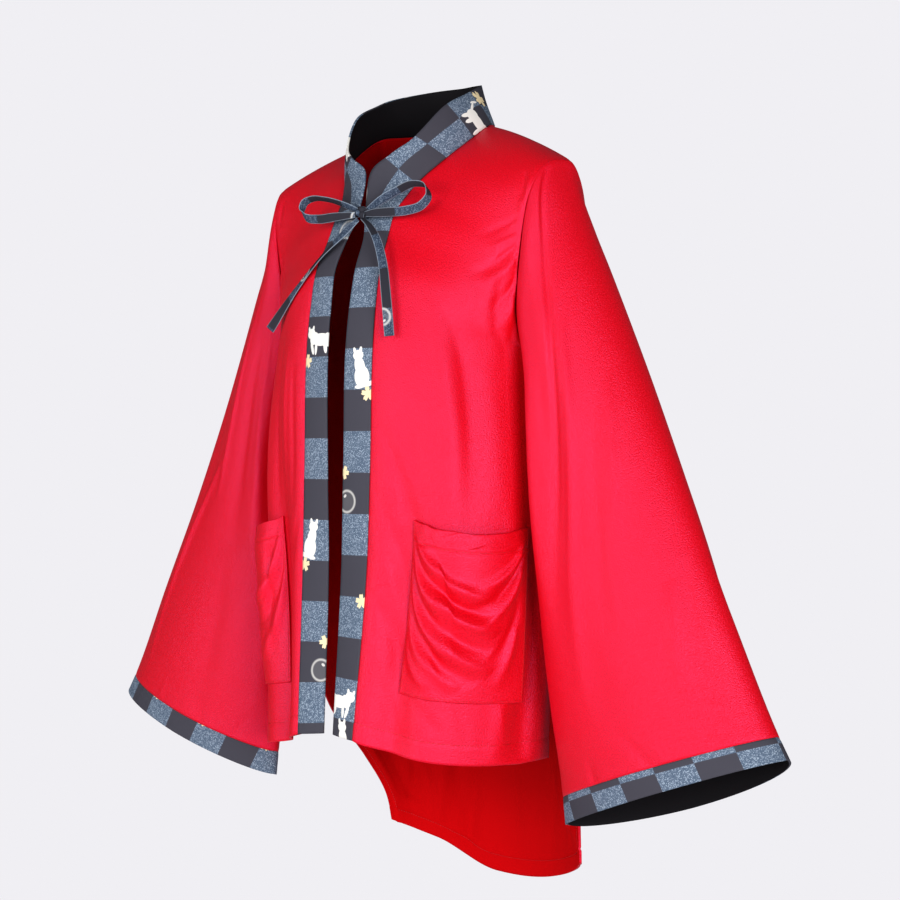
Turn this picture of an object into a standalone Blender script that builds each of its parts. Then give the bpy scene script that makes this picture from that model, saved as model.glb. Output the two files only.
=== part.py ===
"""A worn haori: red fronts, back, sleeves and pockets, with a checked collar, bands, cuffs and tie.

Metres, +Z up. The front looks along -Y and +X is the wearer's left. The origin lies on the
midline at the height where the neck meets the shoulders. The cloth keeps the hollow form that
it has when it is worn: every piece is a thin wall on a surface worked out from its sizes.
"""

import math

import bmesh
import bpy
import numpy as np

# Cloth and seams
CLOTH = 0.0016
BAND_CLOTH = 0.0022
TIE_CLOTH = 0.0014
SEAM_GAP = 0.0003
HALF_GAP = SEAM_GAP / 2
MOST_MITRE = 1.5
NECK_POINT_MITRE = 1.15

# Neck seam and free edge of the collar and front band, from the nape to the hem, left half.
# seam_x, seam_y, seam_z, free_x, free_y, free_z
NECK_LINE = {
    "nape": (0.0, 0.078, 0.001, 0.0, 0.079, 0.048),
    "back of neck": (0.034, 0.0735, 0.000, 0.036, 0.066, 0.046),
    "behind shoulder": (0.062, 0.058, -0.003, 0.060, 0.030, 0.036),
    "shoulder": (0.078, 0.028, -0.0075, 0.0655, 0.0038, 0.025),
    "side of neck": (0.080, -0.005, -0.026, 0.0635, -0.030, 0.008),
    "front of neck": (0.0705, -0.040, -0.052, 0.047, -0.064, -0.030),
    "throat": (0.055, -0.060, -0.074, 0.0274, -0.0769, -0.046),
    "tip": (0.047, -0.072, -0.090, 0.0045, -0.082, -0.063),
    "tie": (0.0425, -0.086, -0.109, 0.0055, -0.092, -0.108),
    "below tie": (0.0432, -0.098, -0.135, 0.012, -0.1015, -0.134),
    "chest": (0.0460, -0.113, -0.168, 0.0148, -0.1175, -0.168),
    "bust": (0.0467, -0.1217, -0.211, 0.0137, -0.126, -0.211),
    "waist": (0.0469, -0.1306, -0.383, 0.0115, -0.1329, -0.383),
    "belly": (0.046, -0.1335, -0.468, 0.0097, -0.1332, -0.468),
    "hem": (0.0391, -0.1489, -0.660, 0.0066, -0.1435, -0.657),
}
BAND_BULGE = 0.0015
SHOULDER_BOW = 0.0050

# Armhole: a tilted oval ring between the shoulder tip and the underarm
SHOULDER_TIP = np.array([0.200, 0.008, -0.058])
UNDERARM = np.array([0.169, 0.015, -0.262])
ARMHOLE_FRONT = np.array([-0.0121, -0.0515, 0.0])
ARMHOLE_BACK = np.array([0.0082, 0.0350, 0.0])
FRONT_BLUNTNESS = 3.0
BACK_BLUNTNESS = 1.9

# Side seam, then the edge of the back's tail below the slit. below, x, y
SIDE_LINE = (
    (0.262, 0.1690, 0.015),
    (0.320, 0.1725, 0.017),
    (0.420, 0.1745, 0.018),
    (0.550, 0.1720, 0.018),
    (0.684, 0.1665, 0.018),
)
TAIL_EDGE = (
    (0.620, 0.1694, 0.018),
    (0.665, 0.1680, 0.040),
    (0.730, 0.1560, 0.084),
    (0.785, 0.1420, 0.108),
    (0.814, 0.1390, 0.113),
)
UNDERARM_BELOW = -UNDERARM[2]
SLIT_BELOW = TAIL_EDGE[0][0]
FRONT_HEM_BELOW = SIDE_LINE[-1][0]
TAIL_BELOW = TAIL_EDGE[-1][0]

# Centre line of the back. down, y, z
BACK_LINE = (
    (0.000, 0.078, 0.002),
    (0.060, 0.095, -0.054),
    (0.130, 0.110, -0.120),
    (0.210, 0.117, -0.198),
    (0.280, 0.119, -0.268),
    (0.380, 0.123, -0.368),
    (0.500, 0.136, -0.487),
    (0.620, 0.152, -0.606),
    (0.720, 0.165, -0.705),
    (0.872, 0.178, -0.855),
)

# How far a row bows out between its ends, from a straight line to a full round. down, roundness
FRONT_ROUNDNESS = ((0.0, 0.0), (0.06, 0.25), (0.13, 0.5), (0.24, 0.85), (0.33, 1.0), (0.80, 1.0))
BACK_ROUNDNESS = (
    (0.0, 0.1),
    (0.08, 0.5),
    (0.20, 0.9),
    (0.28, 1.0),
    (0.62, 1.0),
    (0.74, 0.7),
    (0.872, 0.55),
)
ROUND_PULL = 0.56
# How far a row turns inwards where it meets the armhole. below the armhole, lean
ARMHOLE_LEAN = 0.235
LEAN_FADE = 0.15
FRONT_HEM_DIP = 0.010
NECK_FADE = 0.15
SHOULDER_FADE = 0.08
BAND_FADE = 0.12
EDGE_FADE = 0.08
TAIL_LIFT = 0.0160
TAIL_LIFT_FROM = 0.15
TAIL_LIFT_WIDTH = 0.45
RIGHT_CUFF_LIFT = 0.0080

# Stations down the front and the back, along their seams
TIE_DOWN = 0.1656
FRONT_ARM_DOWN = 0.310
MOUTH_DOWN = 0.487
MOUTH_HEM = 0.020
SLIT_DOWN = 0.660
HEM_WIDTH = 0.020
BACK_ARM_DOWN = 0.280
BACK_SLIT_DOWN = 0.636
BACK_LENGTH = BACK_LINE[-1][0]
BACK_NECK = 0.42

# Columns of the front that the pocket's edges lie on, and its mouth
POCKET_INNER = 0.25
POCKET_OUTER = 0.83
POCKET_SLANT = 0.035
POCKET_STAND = 0.011
POCKET_SAG = 0.010

# Sleeve sections down to the lower edge of the cuff: outer edge, inner edge, front and back half
# depth, how blunt the section is outside, inside and behind, how far its depth leans sideways,
# how much its front rises and how much its back hangs.
# along, outer_x, y, z, inner_x, y, z, front, back, blunt outside, inside, behind, lean, rise, hang
SLEEVE_ROWS = (
    (0.00, 0.2000, 0.0080, -0.0580, 0.1690, 0.0150, -0.2620, 0.0515, 0.0350, 3.0, 3.0, -1.1, 0.235, 0, 0),
    (0.05, 0.2040, 0.0050, -0.0790, 0.1770, 0.0080, -0.2860, 0.0515, 0.0375, 2.6, 2.8, -0.6, 0.20, 0, 0),
    (0.11, 0.2155, 0.0080, -0.1170, 0.1815, 0.0030, -0.3150, 0.0530, 0.0445, 2.1, 2.6, 0, 0.16, 0, 0),
    (0.19, 0.2370, 0.0130, -0.1650, 0.1845, -0.0020, -0.3520, 0.0555, 0.0480, 2.0, 2.8, 0, 0.10, 0, 0),
    (0.35, 0.2800, 0.0190, -0.2620, 0.1855, -0.0060, -0.4250, 0.0565, 0.0485, 2.0, 3.0, 0, 0, 0, 0),
    (0.60, 0.3465, 0.0130, -0.4080, 0.1915, -0.0090, -0.5400, 0.0525, 0.0455, 2.0, 2.6, 0, 0, 0, 0.003),
    (0.80, 0.3985, 0.0050, -0.5200, 0.1990, -0.0100, -0.6320, 0.0510, 0.0430, 2.0, 2.1, 0, 0, 0.001, 0.008),
    (1.00, 0.4545, 0.0020, -0.6345, 0.2090, -0.0100, -0.7180, 0.0500, 0.0430, 2.0, 1.7, 0, 0, 0.003, 0.018),
    (1.045, 0.4670, 0.0010, -0.6550, 0.2120, -0.0100, -0.7455, 0.0500, 0.0430, 2.0, 1.7, 0, 0, 0.003, 0.019),
)
CUFF_TOP = 1.0
CUFF_END = SLEEVE_ROWS[-1][0]

# Largest folds, each a soft ridge (or trough, if its height is negative).
# across, down from, down to, lean, width, height
FRONT_FOLDS = (
    (0.80, 0.10, 0.33, -0.35, 0.045, 0.0040),
    (0.90, 0.12, 0.36, -0.60, 0.035, -0.0035),
    (0.46, 0.22, 0.50, 0.10, 0.060, 0.0030),
    (0.62, 0.30, 0.50, 0.20, 0.050, -0.0035),
    (0.23, 0.30, 0.98, 0.00, 0.115, -0.0200),
    (0.93, 0.42, 0.72, 0.05, 0.035, 0.0040),
)
BACK_FOLDS = (
    (0.80, 0.10, 0.38, -0.40, 0.050, 0.0050),
    (0.30, 0.35, 0.90, 0.10, 0.050, 0.0050),
    (0.52, 0.45, 0.90, 0.15, 0.045, -0.0050),
    (0.74, 0.50, 0.90, 0.10, 0.050, 0.0055),
    (0.90, 0.62, 0.90, 0.00, 0.040, -0.0040),
)
# turn (0 at the outer edge, 0.25 at the front, 0.5 inside), from, to, lean, width, height
SLEEVE_FOLDS = (
    (0.27, 0.02, 0.60, 0.05, 0.022, -0.0050),
    (0.20, 0.03, 0.50, 0.03, 0.022, 0.0045),
    (0.35, 0.06, 0.70, 0.04, 0.025, 0.0045),
    (0.12, 0.35, 0.98, 0.04, 0.030, 0.0040),
    (0.30, 0.60, 1.00, -0.10, 0.025, -0.0035),
    (0.72, 0.05, 0.75, -0.04, 0.028, 0.0050),
    (0.80, 0.10, 0.70, -0.03, 0.025, -0.0045),
    (0.64, 0.20, 0.90, -0.05, 0.028, -0.0040),
)

# Tie: a narrow strip, knotted in a bow. x, y, z, lean of its width from upright, width
KNOT_CENTRE = (0.0120, -0.1040, -0.1090)
KNOT_RADII = (0.0074, 0.0060, 0.0070)
TIE_LOOP_LEFT = (
    (0.0192, -0.1024, -0.1066, 0.3, 0.0060),
    (0.0340, -0.1008, -0.0985, 0.5, 0.0090),
    (0.0550, -0.0965, -0.0885, 0.8, 0.0100),
    (0.0750, -0.0930, -0.0825, 0.9, 0.0100),
    (0.0885, -0.0900, -0.0860, 0.9, 0.0100),
    (0.0915, -0.0890, -0.0960, 0.8, 0.0100),
    (0.0850, -0.0920, -0.1055, 0.6, 0.0100),
    (0.0690, -0.0980, -0.1105, 0.4, 0.0100),
    (0.0480, -0.1035, -0.1110, 0.3, 0.0100),
    (0.0320, -0.1065, -0.1110, 0.2, 0.0090),
    (0.0192, -0.1066, -0.1114, 0.2, 0.0060),
)
TIE_LOOP_RIGHT = (
    (0.0049, -0.1020, -0.1066, 0.3, 0.0060),
    (-0.0120, -0.1035, -0.0995, 0.7, 0.0090),
    (-0.0370, -0.1080, -0.0915, 1.0, 0.0095),
    (-0.0540, -0.1110, -0.0900, 1.0, 0.0095),
    (-0.0640, -0.1130, -0.0940, 0.9, 0.0095),
    (-0.0665, -0.1140, -0.1020, 0.7, 0.0095),
    (-0.0600, -0.1150, -0.1095, 0.5, 0.0100),
    (-0.0430, -0.1145, -0.1130, 0.3, 0.0100),
    (-0.0200, -0.1110, -0.1120, 0.2, 0.0095),
    (0.0048, -0.1064, -0.1112, 0.1, 0.0060),
)
# x, y, z, turn of its width from sideways, width
TIE_TAIL_LEFT = (
    (0.0151, -0.1065, -0.1160, 0.6, 0.0050),
    (0.0290, -0.1120, -0.1240, 0.5, 0.0070),
    (0.0450, -0.1190, -0.1380, 0.5, 0.0085),
    (0.0600, -0.1255, -0.1640, 0.6, 0.0095),
    (0.0700, -0.1310, -0.1995, 0.6, 0.0105),
    (0.0770, -0.1335, -0.2430, 0.6, 0.0105),
)
TIE_TAIL_RIGHT = (
    (0.0089, -0.1067, -0.1162, 0.2, 0.0050),
    (-0.0060, -0.1095, -0.1280, 0.0, 0.0085),
    (-0.0370, -0.1140, -0.1530, -0.5, 0.0095),
    (-0.0720, -0.1130, -0.1830, -0.4, 0.0100),
    (-0.1200, -0.1090, -0.2280, 0.2, 0.0105),
)
# x, y, z, lean of its width from upright, width
TIE_ROOT_LEFT = (
    (0.0300, -0.0951, -0.1090, 0.5, 0.0090),
    (0.0220, -0.0960, -0.1095, 0.3, 0.0070),
    (0.0143, -0.0977, -0.1090, 0.0, 0.0060),
)
TIE_ROOT_RIGHT = (
    (-0.0150, -0.0965, -0.1090, 0.5, 0.0090),
    (-0.0040, -0.0966, -0.1090, 0.3, 0.0080),
    (0.0094, -0.0977, -0.1090, 0.0, 0.0060),
)

# Grid counts
COLLAR_HALF_CELLS = 5
SHOULDER_CELLS = 6
BAND_CELLS = 3
SLEEVE_ROUND = 26
LOOP_CELLS = 18
TAIL_CELLS = 9
ROOT_CELLS = 3

RED = (0.72, 0.004, 0.022, 1.0)
SLATE = (0.09, 0.11, 0.16, 1.0)
RED_ROUGHNESS = 0.45
SLATE_ROUGHNESS = 0.8


def clear_scene():
    for obj in list(bpy.data.objects):
        bpy.data.objects.remove(obj)


def stations(*stops):
    """Cut points along a line: stations(0, 3, 0.5, 2, 1) has 3 cells up to 0.5 and 2 up to 1."""
    points = [np.array([stops[0]], float)]
    for start, cells, end in zip(stops[:-2:2], stops[1::2], stops[2::2]):
        points.append(np.linspace(start, end, cells + 1)[1:])
    return np.concatenate(points)


def curve_through(table, at):
    """Smooth curve through the rows of a table whose first column is the parameter."""
    rows = np.asarray(table, float)
    keys = rows[:, 0]
    values = rows[:, 1:]
    slopes = np.gradient(values, keys, axis=0)
    at = np.asarray(at, float)
    index = np.clip(np.searchsorted(keys, at, side="right") - 1, 0, len(keys) - 2)
    span = (keys[index + 1] - keys[index])[..., None]
    t = (at - keys[index])[..., None] / span
    ease = t * t * (3 - 2 * t)
    rise = slopes[index] * span * t * (1 - t) ** 2
    fall = slopes[index + 1] * span * t * t * (1 - t)
    return values[index] * (1 - ease) + values[index + 1] * ease + rise - fall


def unit(vectors):
    return vectors / np.maximum(np.linalg.norm(vectors, axis=-1, keepdims=True), 1e-12)


def smooth_step(x):
    x = np.clip(x, 0, 1)
    return x * x * (3 - 2 * x)


def neck_table():
    """The neck line, with the distance along its seam as the first column."""
    rows = np.array(list(NECK_LINE.values()))
    steps = np.linalg.norm(np.diff(rows[:, :3], axis=0), axis=1)
    return np.column_stack([np.concatenate([[0.0], np.cumsum(steps)]), rows])


NECK = neck_table()
NECK_SHOULDER = NECK[list(NECK_LINE).index("shoulder"), 0]
FRONT_LENGTH = NECK[-1, 0] - NECK_SHOULDER

FRONT_ROWS = stations(
    0, 6, TIE_DOWN, 5, FRONT_ARM_DOWN, 4, MOUTH_DOWN, 1, MOUTH_DOWN + MOUTH_HEM,
    4, SLIT_DOWN, 1, FRONT_LENGTH - HEM_WIDTH, 1, FRONT_LENGTH,
)
FRONT_COLUMNS = stations(0, 3, POCKET_INNER, 6, POCKET_OUTER, 3, 1)
BACK_HALF_COLUMNS = stations(0, COLLAR_HALF_CELLS, BACK_NECK, SHOULDER_CELLS, 1)
ARM_ROW = int(np.argmin(abs(FRONT_ROWS - FRONT_ARM_DOWN)))
SLIT_ROW = int(np.argmin(abs(FRONT_ROWS - SLIT_DOWN)))
TIE_ROW = int(np.argmin(abs(FRONT_ROWS - TIE_DOWN)))
MOUTH_ROW = int(np.argmin(abs(FRONT_ROWS - MOUTH_DOWN)))
SLEEVE_ALONG = stations(0, 3, 0.06, 3, 0.18, 8, 0.86, 2, CUFF_TOP)
CUFF_ALONG = stations(CUFF_TOP, 2, CUFF_END)


def back_row(front_down):
    """The station of the back that meets a station of the front at the side seam."""
    share = (front_down - FRONT_ARM_DOWN) / (SLIT_DOWN - FRONT_ARM_DOWN)
    return BACK_ARM_DOWN + share * (BACK_SLIT_DOWN - BACK_ARM_DOWN)


BACK_ROWS = np.concatenate([
    np.linspace(0, BACK_ARM_DOWN, ARM_ROW + 1),
    back_row(FRONT_ROWS[ARM_ROW + 1 : SLIT_ROW + 1]),
    stations(BACK_SLIT_DOWN, 6, BACK_LENGTH - HEM_WIDTH, 1, BACK_LENGTH)[1:],
])


def superellipse(angle, bluntness):
    """Reach of a rounded oval of half size 1: 2 is a circle, and more is blunter."""
    return (np.abs(np.cos(angle)) ** bluntness + np.abs(np.sin(angle)) ** bluntness) ** (-1 / bluntness)


def armhole(angle, depth, bluntness):
    """A point of the armhole ring: angle 0 at the shoulder tip and pi at the underarm."""
    middle = (SHOULDER_TIP + UNDERARM) / 2
    half = (SHOULDER_TIP - UNDERARM) / 2
    reach = superellipse(angle, bluntness)
    up = (np.cos(angle) * reach)[..., None]
    out = (np.sin(angle) * reach)[..., None]
    return middle + up * half + out * depth


def armhole_share(share, depth, bluntness):
    """The armhole's point at this share of its length from the shoulder tip."""
    angles = np.linspace(0, math.pi, 200)
    steps = np.linalg.norm(np.diff(armhole(angles, depth, bluntness), axis=0), axis=1)
    lengths = np.concatenate([[0.0], np.cumsum(steps)])
    return armhole(np.interp(share, lengths / lengths[-1], angles), depth, bluntness)


def armhole_normal():
    """Unit normal of the armhole's plane, pointing into the body."""
    half = (SHOULDER_TIP - UNDERARM) / 2
    return unit(np.cross(half, ARMHOLE_BACK))


def edge_line(table, below):
    flat = curve_through(table, below)
    return np.stack([flat[..., 0], flat[..., 1], -below], axis=-1)


def front_edge(down):
    """The front's outer edge: the armhole, then the side seam."""
    on_arm = armhole_share(np.clip(down / FRONT_ARM_DOWN, 0, 1), ARMHOLE_FRONT, FRONT_BLUNTNESS)
    share = (down - FRONT_ARM_DOWN) / (SLIT_DOWN - FRONT_ARM_DOWN)
    to_slit = UNDERARM_BELOW + share * (SLIT_BELOW - UNDERARM_BELOW)
    past = (down - SLIT_DOWN) / (FRONT_LENGTH - SLIT_DOWN)
    to_hem = SLIT_BELOW + past * (FRONT_HEM_BELOW - SLIT_BELOW)
    below = np.where(down <= SLIT_DOWN, to_slit, to_hem)
    on_side = edge_line(SIDE_LINE, np.maximum(below, UNDERARM_BELOW))
    return np.where((down <= FRONT_ARM_DOWN)[..., None], on_arm, on_side)


def back_edge(down):
    """The back's outer edge: the armhole, the side seam, then the edge of the tail."""
    on_arm = armhole_share(np.clip(down / BACK_ARM_DOWN, 0, 1), ARMHOLE_BACK, BACK_BLUNTNESS)
    share = (down - BACK_ARM_DOWN) / (BACK_SLIT_DOWN - BACK_ARM_DOWN)
    below = np.clip(UNDERARM_BELOW + share * (SLIT_BELOW - UNDERARM_BELOW), UNDERARM_BELOW, SLIT_BELOW)
    past = (down - BACK_SLIT_DOWN) / (BACK_LENGTH - BACK_SLIT_DOWN)
    tail_below = np.clip(SLIT_BELOW + past * (TAIL_BELOW - SLIT_BELOW), SLIT_BELOW, TAIL_BELOW)
    on_side = edge_line(SIDE_LINE, below)
    on_tail = edge_line(TAIL_EDGE, tail_below)
    low = np.where((down <= BACK_SLIT_DOWN)[..., None], on_side, on_tail)
    return np.where((down <= BACK_ARM_DOWN)[..., None], on_arm, low)


def bezier(start, pull_start, pull_end, end, t):
    return (
        start * (1 - t) ** 3
        + 3 * pull_start * t * (1 - t) ** 2
        + 3 * pull_end * t * t * (1 - t)
        + end * t**3
    )


def lean_at(down, arm_down):
    return ARMHOLE_LEAN * smooth_step(1 - (down - arm_down) / LEAN_FADE)[..., None]


def row_curve(start, end, roundness, lean, flat_start, across):
    """Rows from start to end that leave start sideways and reach end running front to back."""
    span = end - start
    sideways = np.array([1.0, 0.0, 0.0])
    to_back = np.array([0.0, 1.0, 0.0])
    drop = np.array([0.0, 0.0, 1.0]) / 3
    start_drop = 0.0 if flat_start else drop
    straight = np.array([1.0, 0.0, 0.0]) / 3 if flat_start else 1 / 3
    round_start = start + span * (sideways * ROUND_PULL + start_drop)
    round_end = end - span * (to_back * ROUND_PULL + drop)
    round_end = round_end - sideways * lean * span[..., 1:2] * ROUND_PULL
    plain_start = start + span * straight
    plain_end = end - span / 3
    pull_start = plain_start + roundness * (round_start - plain_start)
    pull_end = plain_end + roundness * (round_end - plain_end)
    return bezier(start, pull_start, pull_end, end, across)


def front_surface(across, down):
    """The left front, across from its band seam (0) to its outer edge (1)."""
    low = np.clip((down - MOUTH_DOWN) / (SLIT_DOWN - MOUTH_DOWN), 0, 1)
    slant = np.interp(across, (0, POCKET_INNER, POCKET_OUTER, 1), (0, 1, 0, 0))
    across = across - POCKET_SLANT * low * slant
    start = curve_through(NECK, NECK_SHOULDER + down)[..., :3]
    end = front_edge(down)
    roundness = curve_through(FRONT_ROUNDNESS, down)
    t = across[..., None]
    points = row_curve(start, end, roundness, lean_at(down, FRONT_ARM_DOWN), False, t)
    fade = smooth_step(1 - down / SHOULDER_FADE)[..., None]
    points[..., 2:] += SHOULDER_BOW * fade * 4 * t * (1 - t)
    dip = FRONT_HEM_DIP * smooth_step((down - MOUTH_DOWN) / (FRONT_LENGTH - MOUTH_DOWN))[..., None]
    points[..., 2:] -= dip * 4 * t * (1 - t)
    return points


def back_neckline(across):
    """The back's top edge: the neck seam, then the straight shoulder seam."""
    on_neck = curve_through(NECK, np.clip(across / BACK_NECK, 0, 1) * NECK_SHOULDER)[..., :3]
    point = np.array(NECK_LINE["shoulder"][:3])
    share = np.clip((across - BACK_NECK) / (1 - BACK_NECK), 0, 1)[..., None]
    on_shoulder = point + share * (SHOULDER_TIP - point)
    on_shoulder[..., 2:] += SHOULDER_BOW * 4 * share * (1 - share)
    return np.where((across <= BACK_NECK)[..., None], on_neck, on_shoulder)


def back_surface(across, down):
    """The left half of the back, across from its centre line (0) to its outer edge (1)."""
    centre = curve_through(BACK_LINE, down)
    start = np.concatenate([np.zeros_like(centre[..., :1]), centre], axis=-1)
    end = back_edge(down)
    roundness = curve_through(BACK_ROUNDNESS, down)
    t = across[..., None]
    top = np.zeros((1, 1))
    top_start = np.array([0.0, *BACK_LINE[0][1:]])
    top_lean = lean_at(top, BACK_ARM_DOWN)
    top_row = row_curve(top_start, back_edge(top), curve_through(BACK_ROUNDNESS, top), top_lean, True, t)
    rows = row_curve(start, end, roundness, lean_at(down, BACK_ARM_DOWN), True, t)
    fade = smooth_step(1 - down / NECK_FADE)[..., None]
    return rows + fade * (back_neckline(across) - top_row)


def sleeve_surface(turn, along):
    """The left sleeve, turn from its outer edge (0) by its front (0.25) to its inside (0.5)."""
    rows = curve_through(SLEEVE_ROWS, along)[..., None, :]
    outer = rows[..., 0:3]
    inner = rows[..., 3:6]
    front, back, blunt_out, blunt_in, behind, lean, rise, hang = np.moveaxis(rows[..., 6:], -1, 0)
    angle = 2 * math.pi * turn
    c = np.cos(angle)
    s = np.sin(angle)
    bluntness = np.where(c < 0, blunt_in, blunt_out) + np.where(s < 0, behind, 0.0)
    reach = superellipse(angle, bluntness)
    depth = -reach * s * np.where(s > 0, front, back)
    points = (outer + inner) / 2 + (c * reach)[..., None] * (outer - inner) / 2
    points[..., 0] += depth * lean
    points[..., 1] += depth
    points[..., 2] += reach * s * np.where(s > 0, rise, hang)
    return points


def fold_heights(folds, across, down, wrap):
    """Height of all folds at each grid point. Every fold fades out at both of its ends."""
    total = np.zeros(np.broadcast(across, down).shape)
    for at, top, bottom, lean, width, height in folds:
        offset = across - at - lean * (down - top)
        if wrap:
            offset = (offset + 0.5) % 1.0 - 0.5
        share = np.clip((down - top) / (bottom - top), 0, 1)
        total = total + height * np.exp(-((offset / width) ** 2)) * np.sin(math.pi * share) ** 2
    return total


def along_grid(points, axis, wrap):
    if wrap:
        return np.roll(points, -1, axis) - np.roll(points, 1, axis)
    return np.gradient(points, axis=axis)


def grid_normals(points, wrap=False, flip=False):
    down = along_grid(points, 0, False)
    across = along_grid(points, 1, wrap)
    normals = unit(np.cross(down, across))
    return -normals if flip else normals


def mitre(*normals):
    """One direction for the edge that several walls share, long enough to keep their thickness."""
    total = unit(sum(normals))
    straight = np.sum(total * normals[0], axis=-1, keepdims=True)
    return total / np.maximum(straight, 1 / MOST_MITRE)


def pull_in(points, line, inside):
    """Move an edge row of the grid back from its seam by half of the gap."""
    points[line] += HALF_GAP * unit(points[inside] - points[line])


def wall(name, outer, inner, material, parent, wrap=False, mirrored=False):
    """A closed solid between an outer and an inner grid of points."""
    rows, columns = outer.shape[:2]
    count = rows * columns
    points = np.concatenate([outer.reshape(-1, 3), inner.reshape(-1, 3)])
    if mirrored:
        points = points * np.array([-1.0, 1.0, 1.0])
    steps = columns if wrap else columns - 1
    faces = []
    for i in range(rows - 1):
        for j in range(steps):
            k = (j + 1) % columns
            a = i * columns + j
            b = i * columns + k
            c = (i + 1) * columns + k
            d = (i + 1) * columns + j
            faces += [(a, b, c), (a, c, d)]
            faces += [(a + count, c + count, b + count), (a + count, d + count, c + count)]
    edges = [(j, (j + 1) % columns) for j in range(steps)]
    last = (rows - 1) * columns
    edges += [((j + 1) % columns + last, j + last) for j in range(steps)]
    if not wrap:
        edges += [((i + 1) * columns - 1, (i + 2) * columns - 1) for i in range(rows - 1)]
        for i in range(rows - 1):
            a = (i + 1) * columns
            b = i * columns
            faces += [(b, a, b + count), (a, a + count, b + count)]
    for a, b in edges:
        faces += [(b, a, a + count), (b, a + count, b + count)]
    return add_object(name, points, faces, material, parent)


def add_object(name, points, faces, material, parent):
    mesh = bpy.data.meshes.new(name)
    mesh.from_pydata([tuple(point) for point in points], [], faces)
    shape = bmesh.new()
    shape.from_mesh(mesh)
    bmesh.ops.recalc_face_normals(shape, faces=shape.faces)
    for face in shape.faces:
        face.smooth = True
    shape.to_mesh(mesh)
    shape.free()
    mesh.materials.append(material)
    obj = bpy.data.objects.new(name, mesh)
    obj.parent = parent
    bpy.context.collection.objects.link(obj)
    return obj


def make_material(name, colour, roughness):
    material = bpy.data.materials.new(name)
    material.use_nodes = True
    shader = material.node_tree.nodes["Principled BSDF"]
    shader.inputs["Base Color"].default_value = colour
    shader.inputs["Roughness"].default_value = roughness
    shader.inputs["Metallic"].default_value = 0.0
    return material


def red(name):
    return make_material(name, RED, RED_ROUGHNESS)


def slate(name):
    return make_material(name, SLATE, SLATE_ROUGHNESS)


def front_grid():
    """Outer points of the left front, with its folds. The folds die out at its edges."""
    across, down = np.meshgrid(FRONT_COLUMNS, FRONT_ROWS)
    points = front_surface(across, down[:, :1])
    edge = smooth_step(across / BAND_FADE) * smooth_step((1 - across) / EDGE_FADE)
    heights = fold_heights(FRONT_FOLDS, across, down, False) * edge
    return points + grid_normals(points) * heights[..., None]


def back_half_grid():
    across, down = np.meshgrid(BACK_HALF_COLUMNS, BACK_ROWS)
    points = back_surface(across, down[:, :1])
    edge = smooth_step((1 - across) / EDGE_FADE)
    heights = fold_heights(BACK_FOLDS, across, down, False) * edge
    return points + grid_normals(points, flip=True) * heights[..., None]


def sleeve_grid(along, lift):
    """Outer points of a left sleeve, with the inner end of its cuff lifted."""
    turn = np.arange(SLEEVE_ROUND) / SLEEVE_ROUND
    turn, along = np.meshgrid(turn, along)
    points = sleeve_surface(turn, along[:, 0])
    points[..., 2] += lift * along**2 * (1 - np.cos(2 * math.pi * turn)) / 2
    heights = fold_heights(SLEEVE_FOLDS, turn, along, True)
    return points + grid_normals(points, wrap=True, flip=True) * heights[..., None]


def strip_grid():
    """Outer points of the collar and band together, from the nape to the hem, left half."""
    back_part = np.linspace(0, NECK_SHOULDER, COLLAR_HALF_CELLS + 1)
    distance = np.concatenate([back_part, NECK_SHOULDER + FRONT_ROWS[1:]])
    edges = curve_through(NECK, distance)
    share = np.linspace(0, 1, BAND_CELLS + 1)[None, :, None]
    points = edges[:, None, :3] * (1 - share) + edges[:, None, 3:] * share
    return points + grid_normals(points, flip=True) * BAND_BULGE * 4 * share * (1 - share)


def seam_offsets(front, back_half, strip):
    """Offset directions of the panels and the strip. Pieces that share an edge share them there."""
    front_out = grid_normals(front)
    back_out = grid_normals(back_half, flip=True)
    strip_out = grid_normals(strip, flip=True)
    back_out[:, 0, 0] = 0
    back_out[:, 0] = unit(back_out[:, 0])
    strip_out[0, :, 0] = 0
    strip_out[0] = unit(strip_out[0])
    neck_cells = COLLAR_HALF_CELLS
    front_in = mitre(front_out[:, 0], strip_out[neck_cells:, 0])
    back_in = mitre(back_out[0, : neck_cells + 1], strip_out[: neck_cells + 1, 0])
    shoulder = unit(SHOULDER_TIP - front[0, 0])
    across_seam = unit(np.cross(shoulder, np.array([0.0, 0.0, 1.0])))
    over = mitre(front_out[0].mean(axis=0), back_out[0, neck_cells:].mean(axis=0))
    over = over - across_seam * np.dot(over, across_seam)
    at_neck = mitre(front_out[0, 0], back_out[0, neck_cells], strip_out[neck_cells, 0])
    at_neck = NECK_POINT_MITRE * unit(at_neck - across_seam * np.dot(at_neck, across_seam))
    front_in[0] = at_neck
    back_in[neck_cells] = at_neck
    side = mitre(front_out[ARM_ROW : SLIT_ROW + 1, -1], back_out[ARM_ROW : SLIT_ROW + 1, -1])
    into_body = armhole_normal()
    for out in (front_out, back_out):
        arm = out[: ARM_ROW + 1, -1]
        lean = np.maximum(arm @ into_body, 0)
        out[: ARM_ROW + 1, -1] = unit(arm - lean[:, None] * into_body)
    front_out[0] = over
    back_out[0, neck_cells:] = over
    front_out[ARM_ROW : SLIT_ROW + 1, -1] = side
    back_out[ARM_ROW : SLIT_ROW + 1, -1] = side
    front_out[:, 0] = front_in
    strip_out[neck_cells:, 0] = front_in
    back_out[0, : neck_cells + 1] = back_in
    strip_out[: neck_cells + 1, 0] = back_in
    return front_out, back_out, strip_out


def mirrored_rows(half):
    """The whole width from a left half whose first column is the midline."""
    right = half[:, :0:-1] * np.array([-1.0, 1.0, 1.0])
    return np.concatenate([right, half], axis=1)


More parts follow.
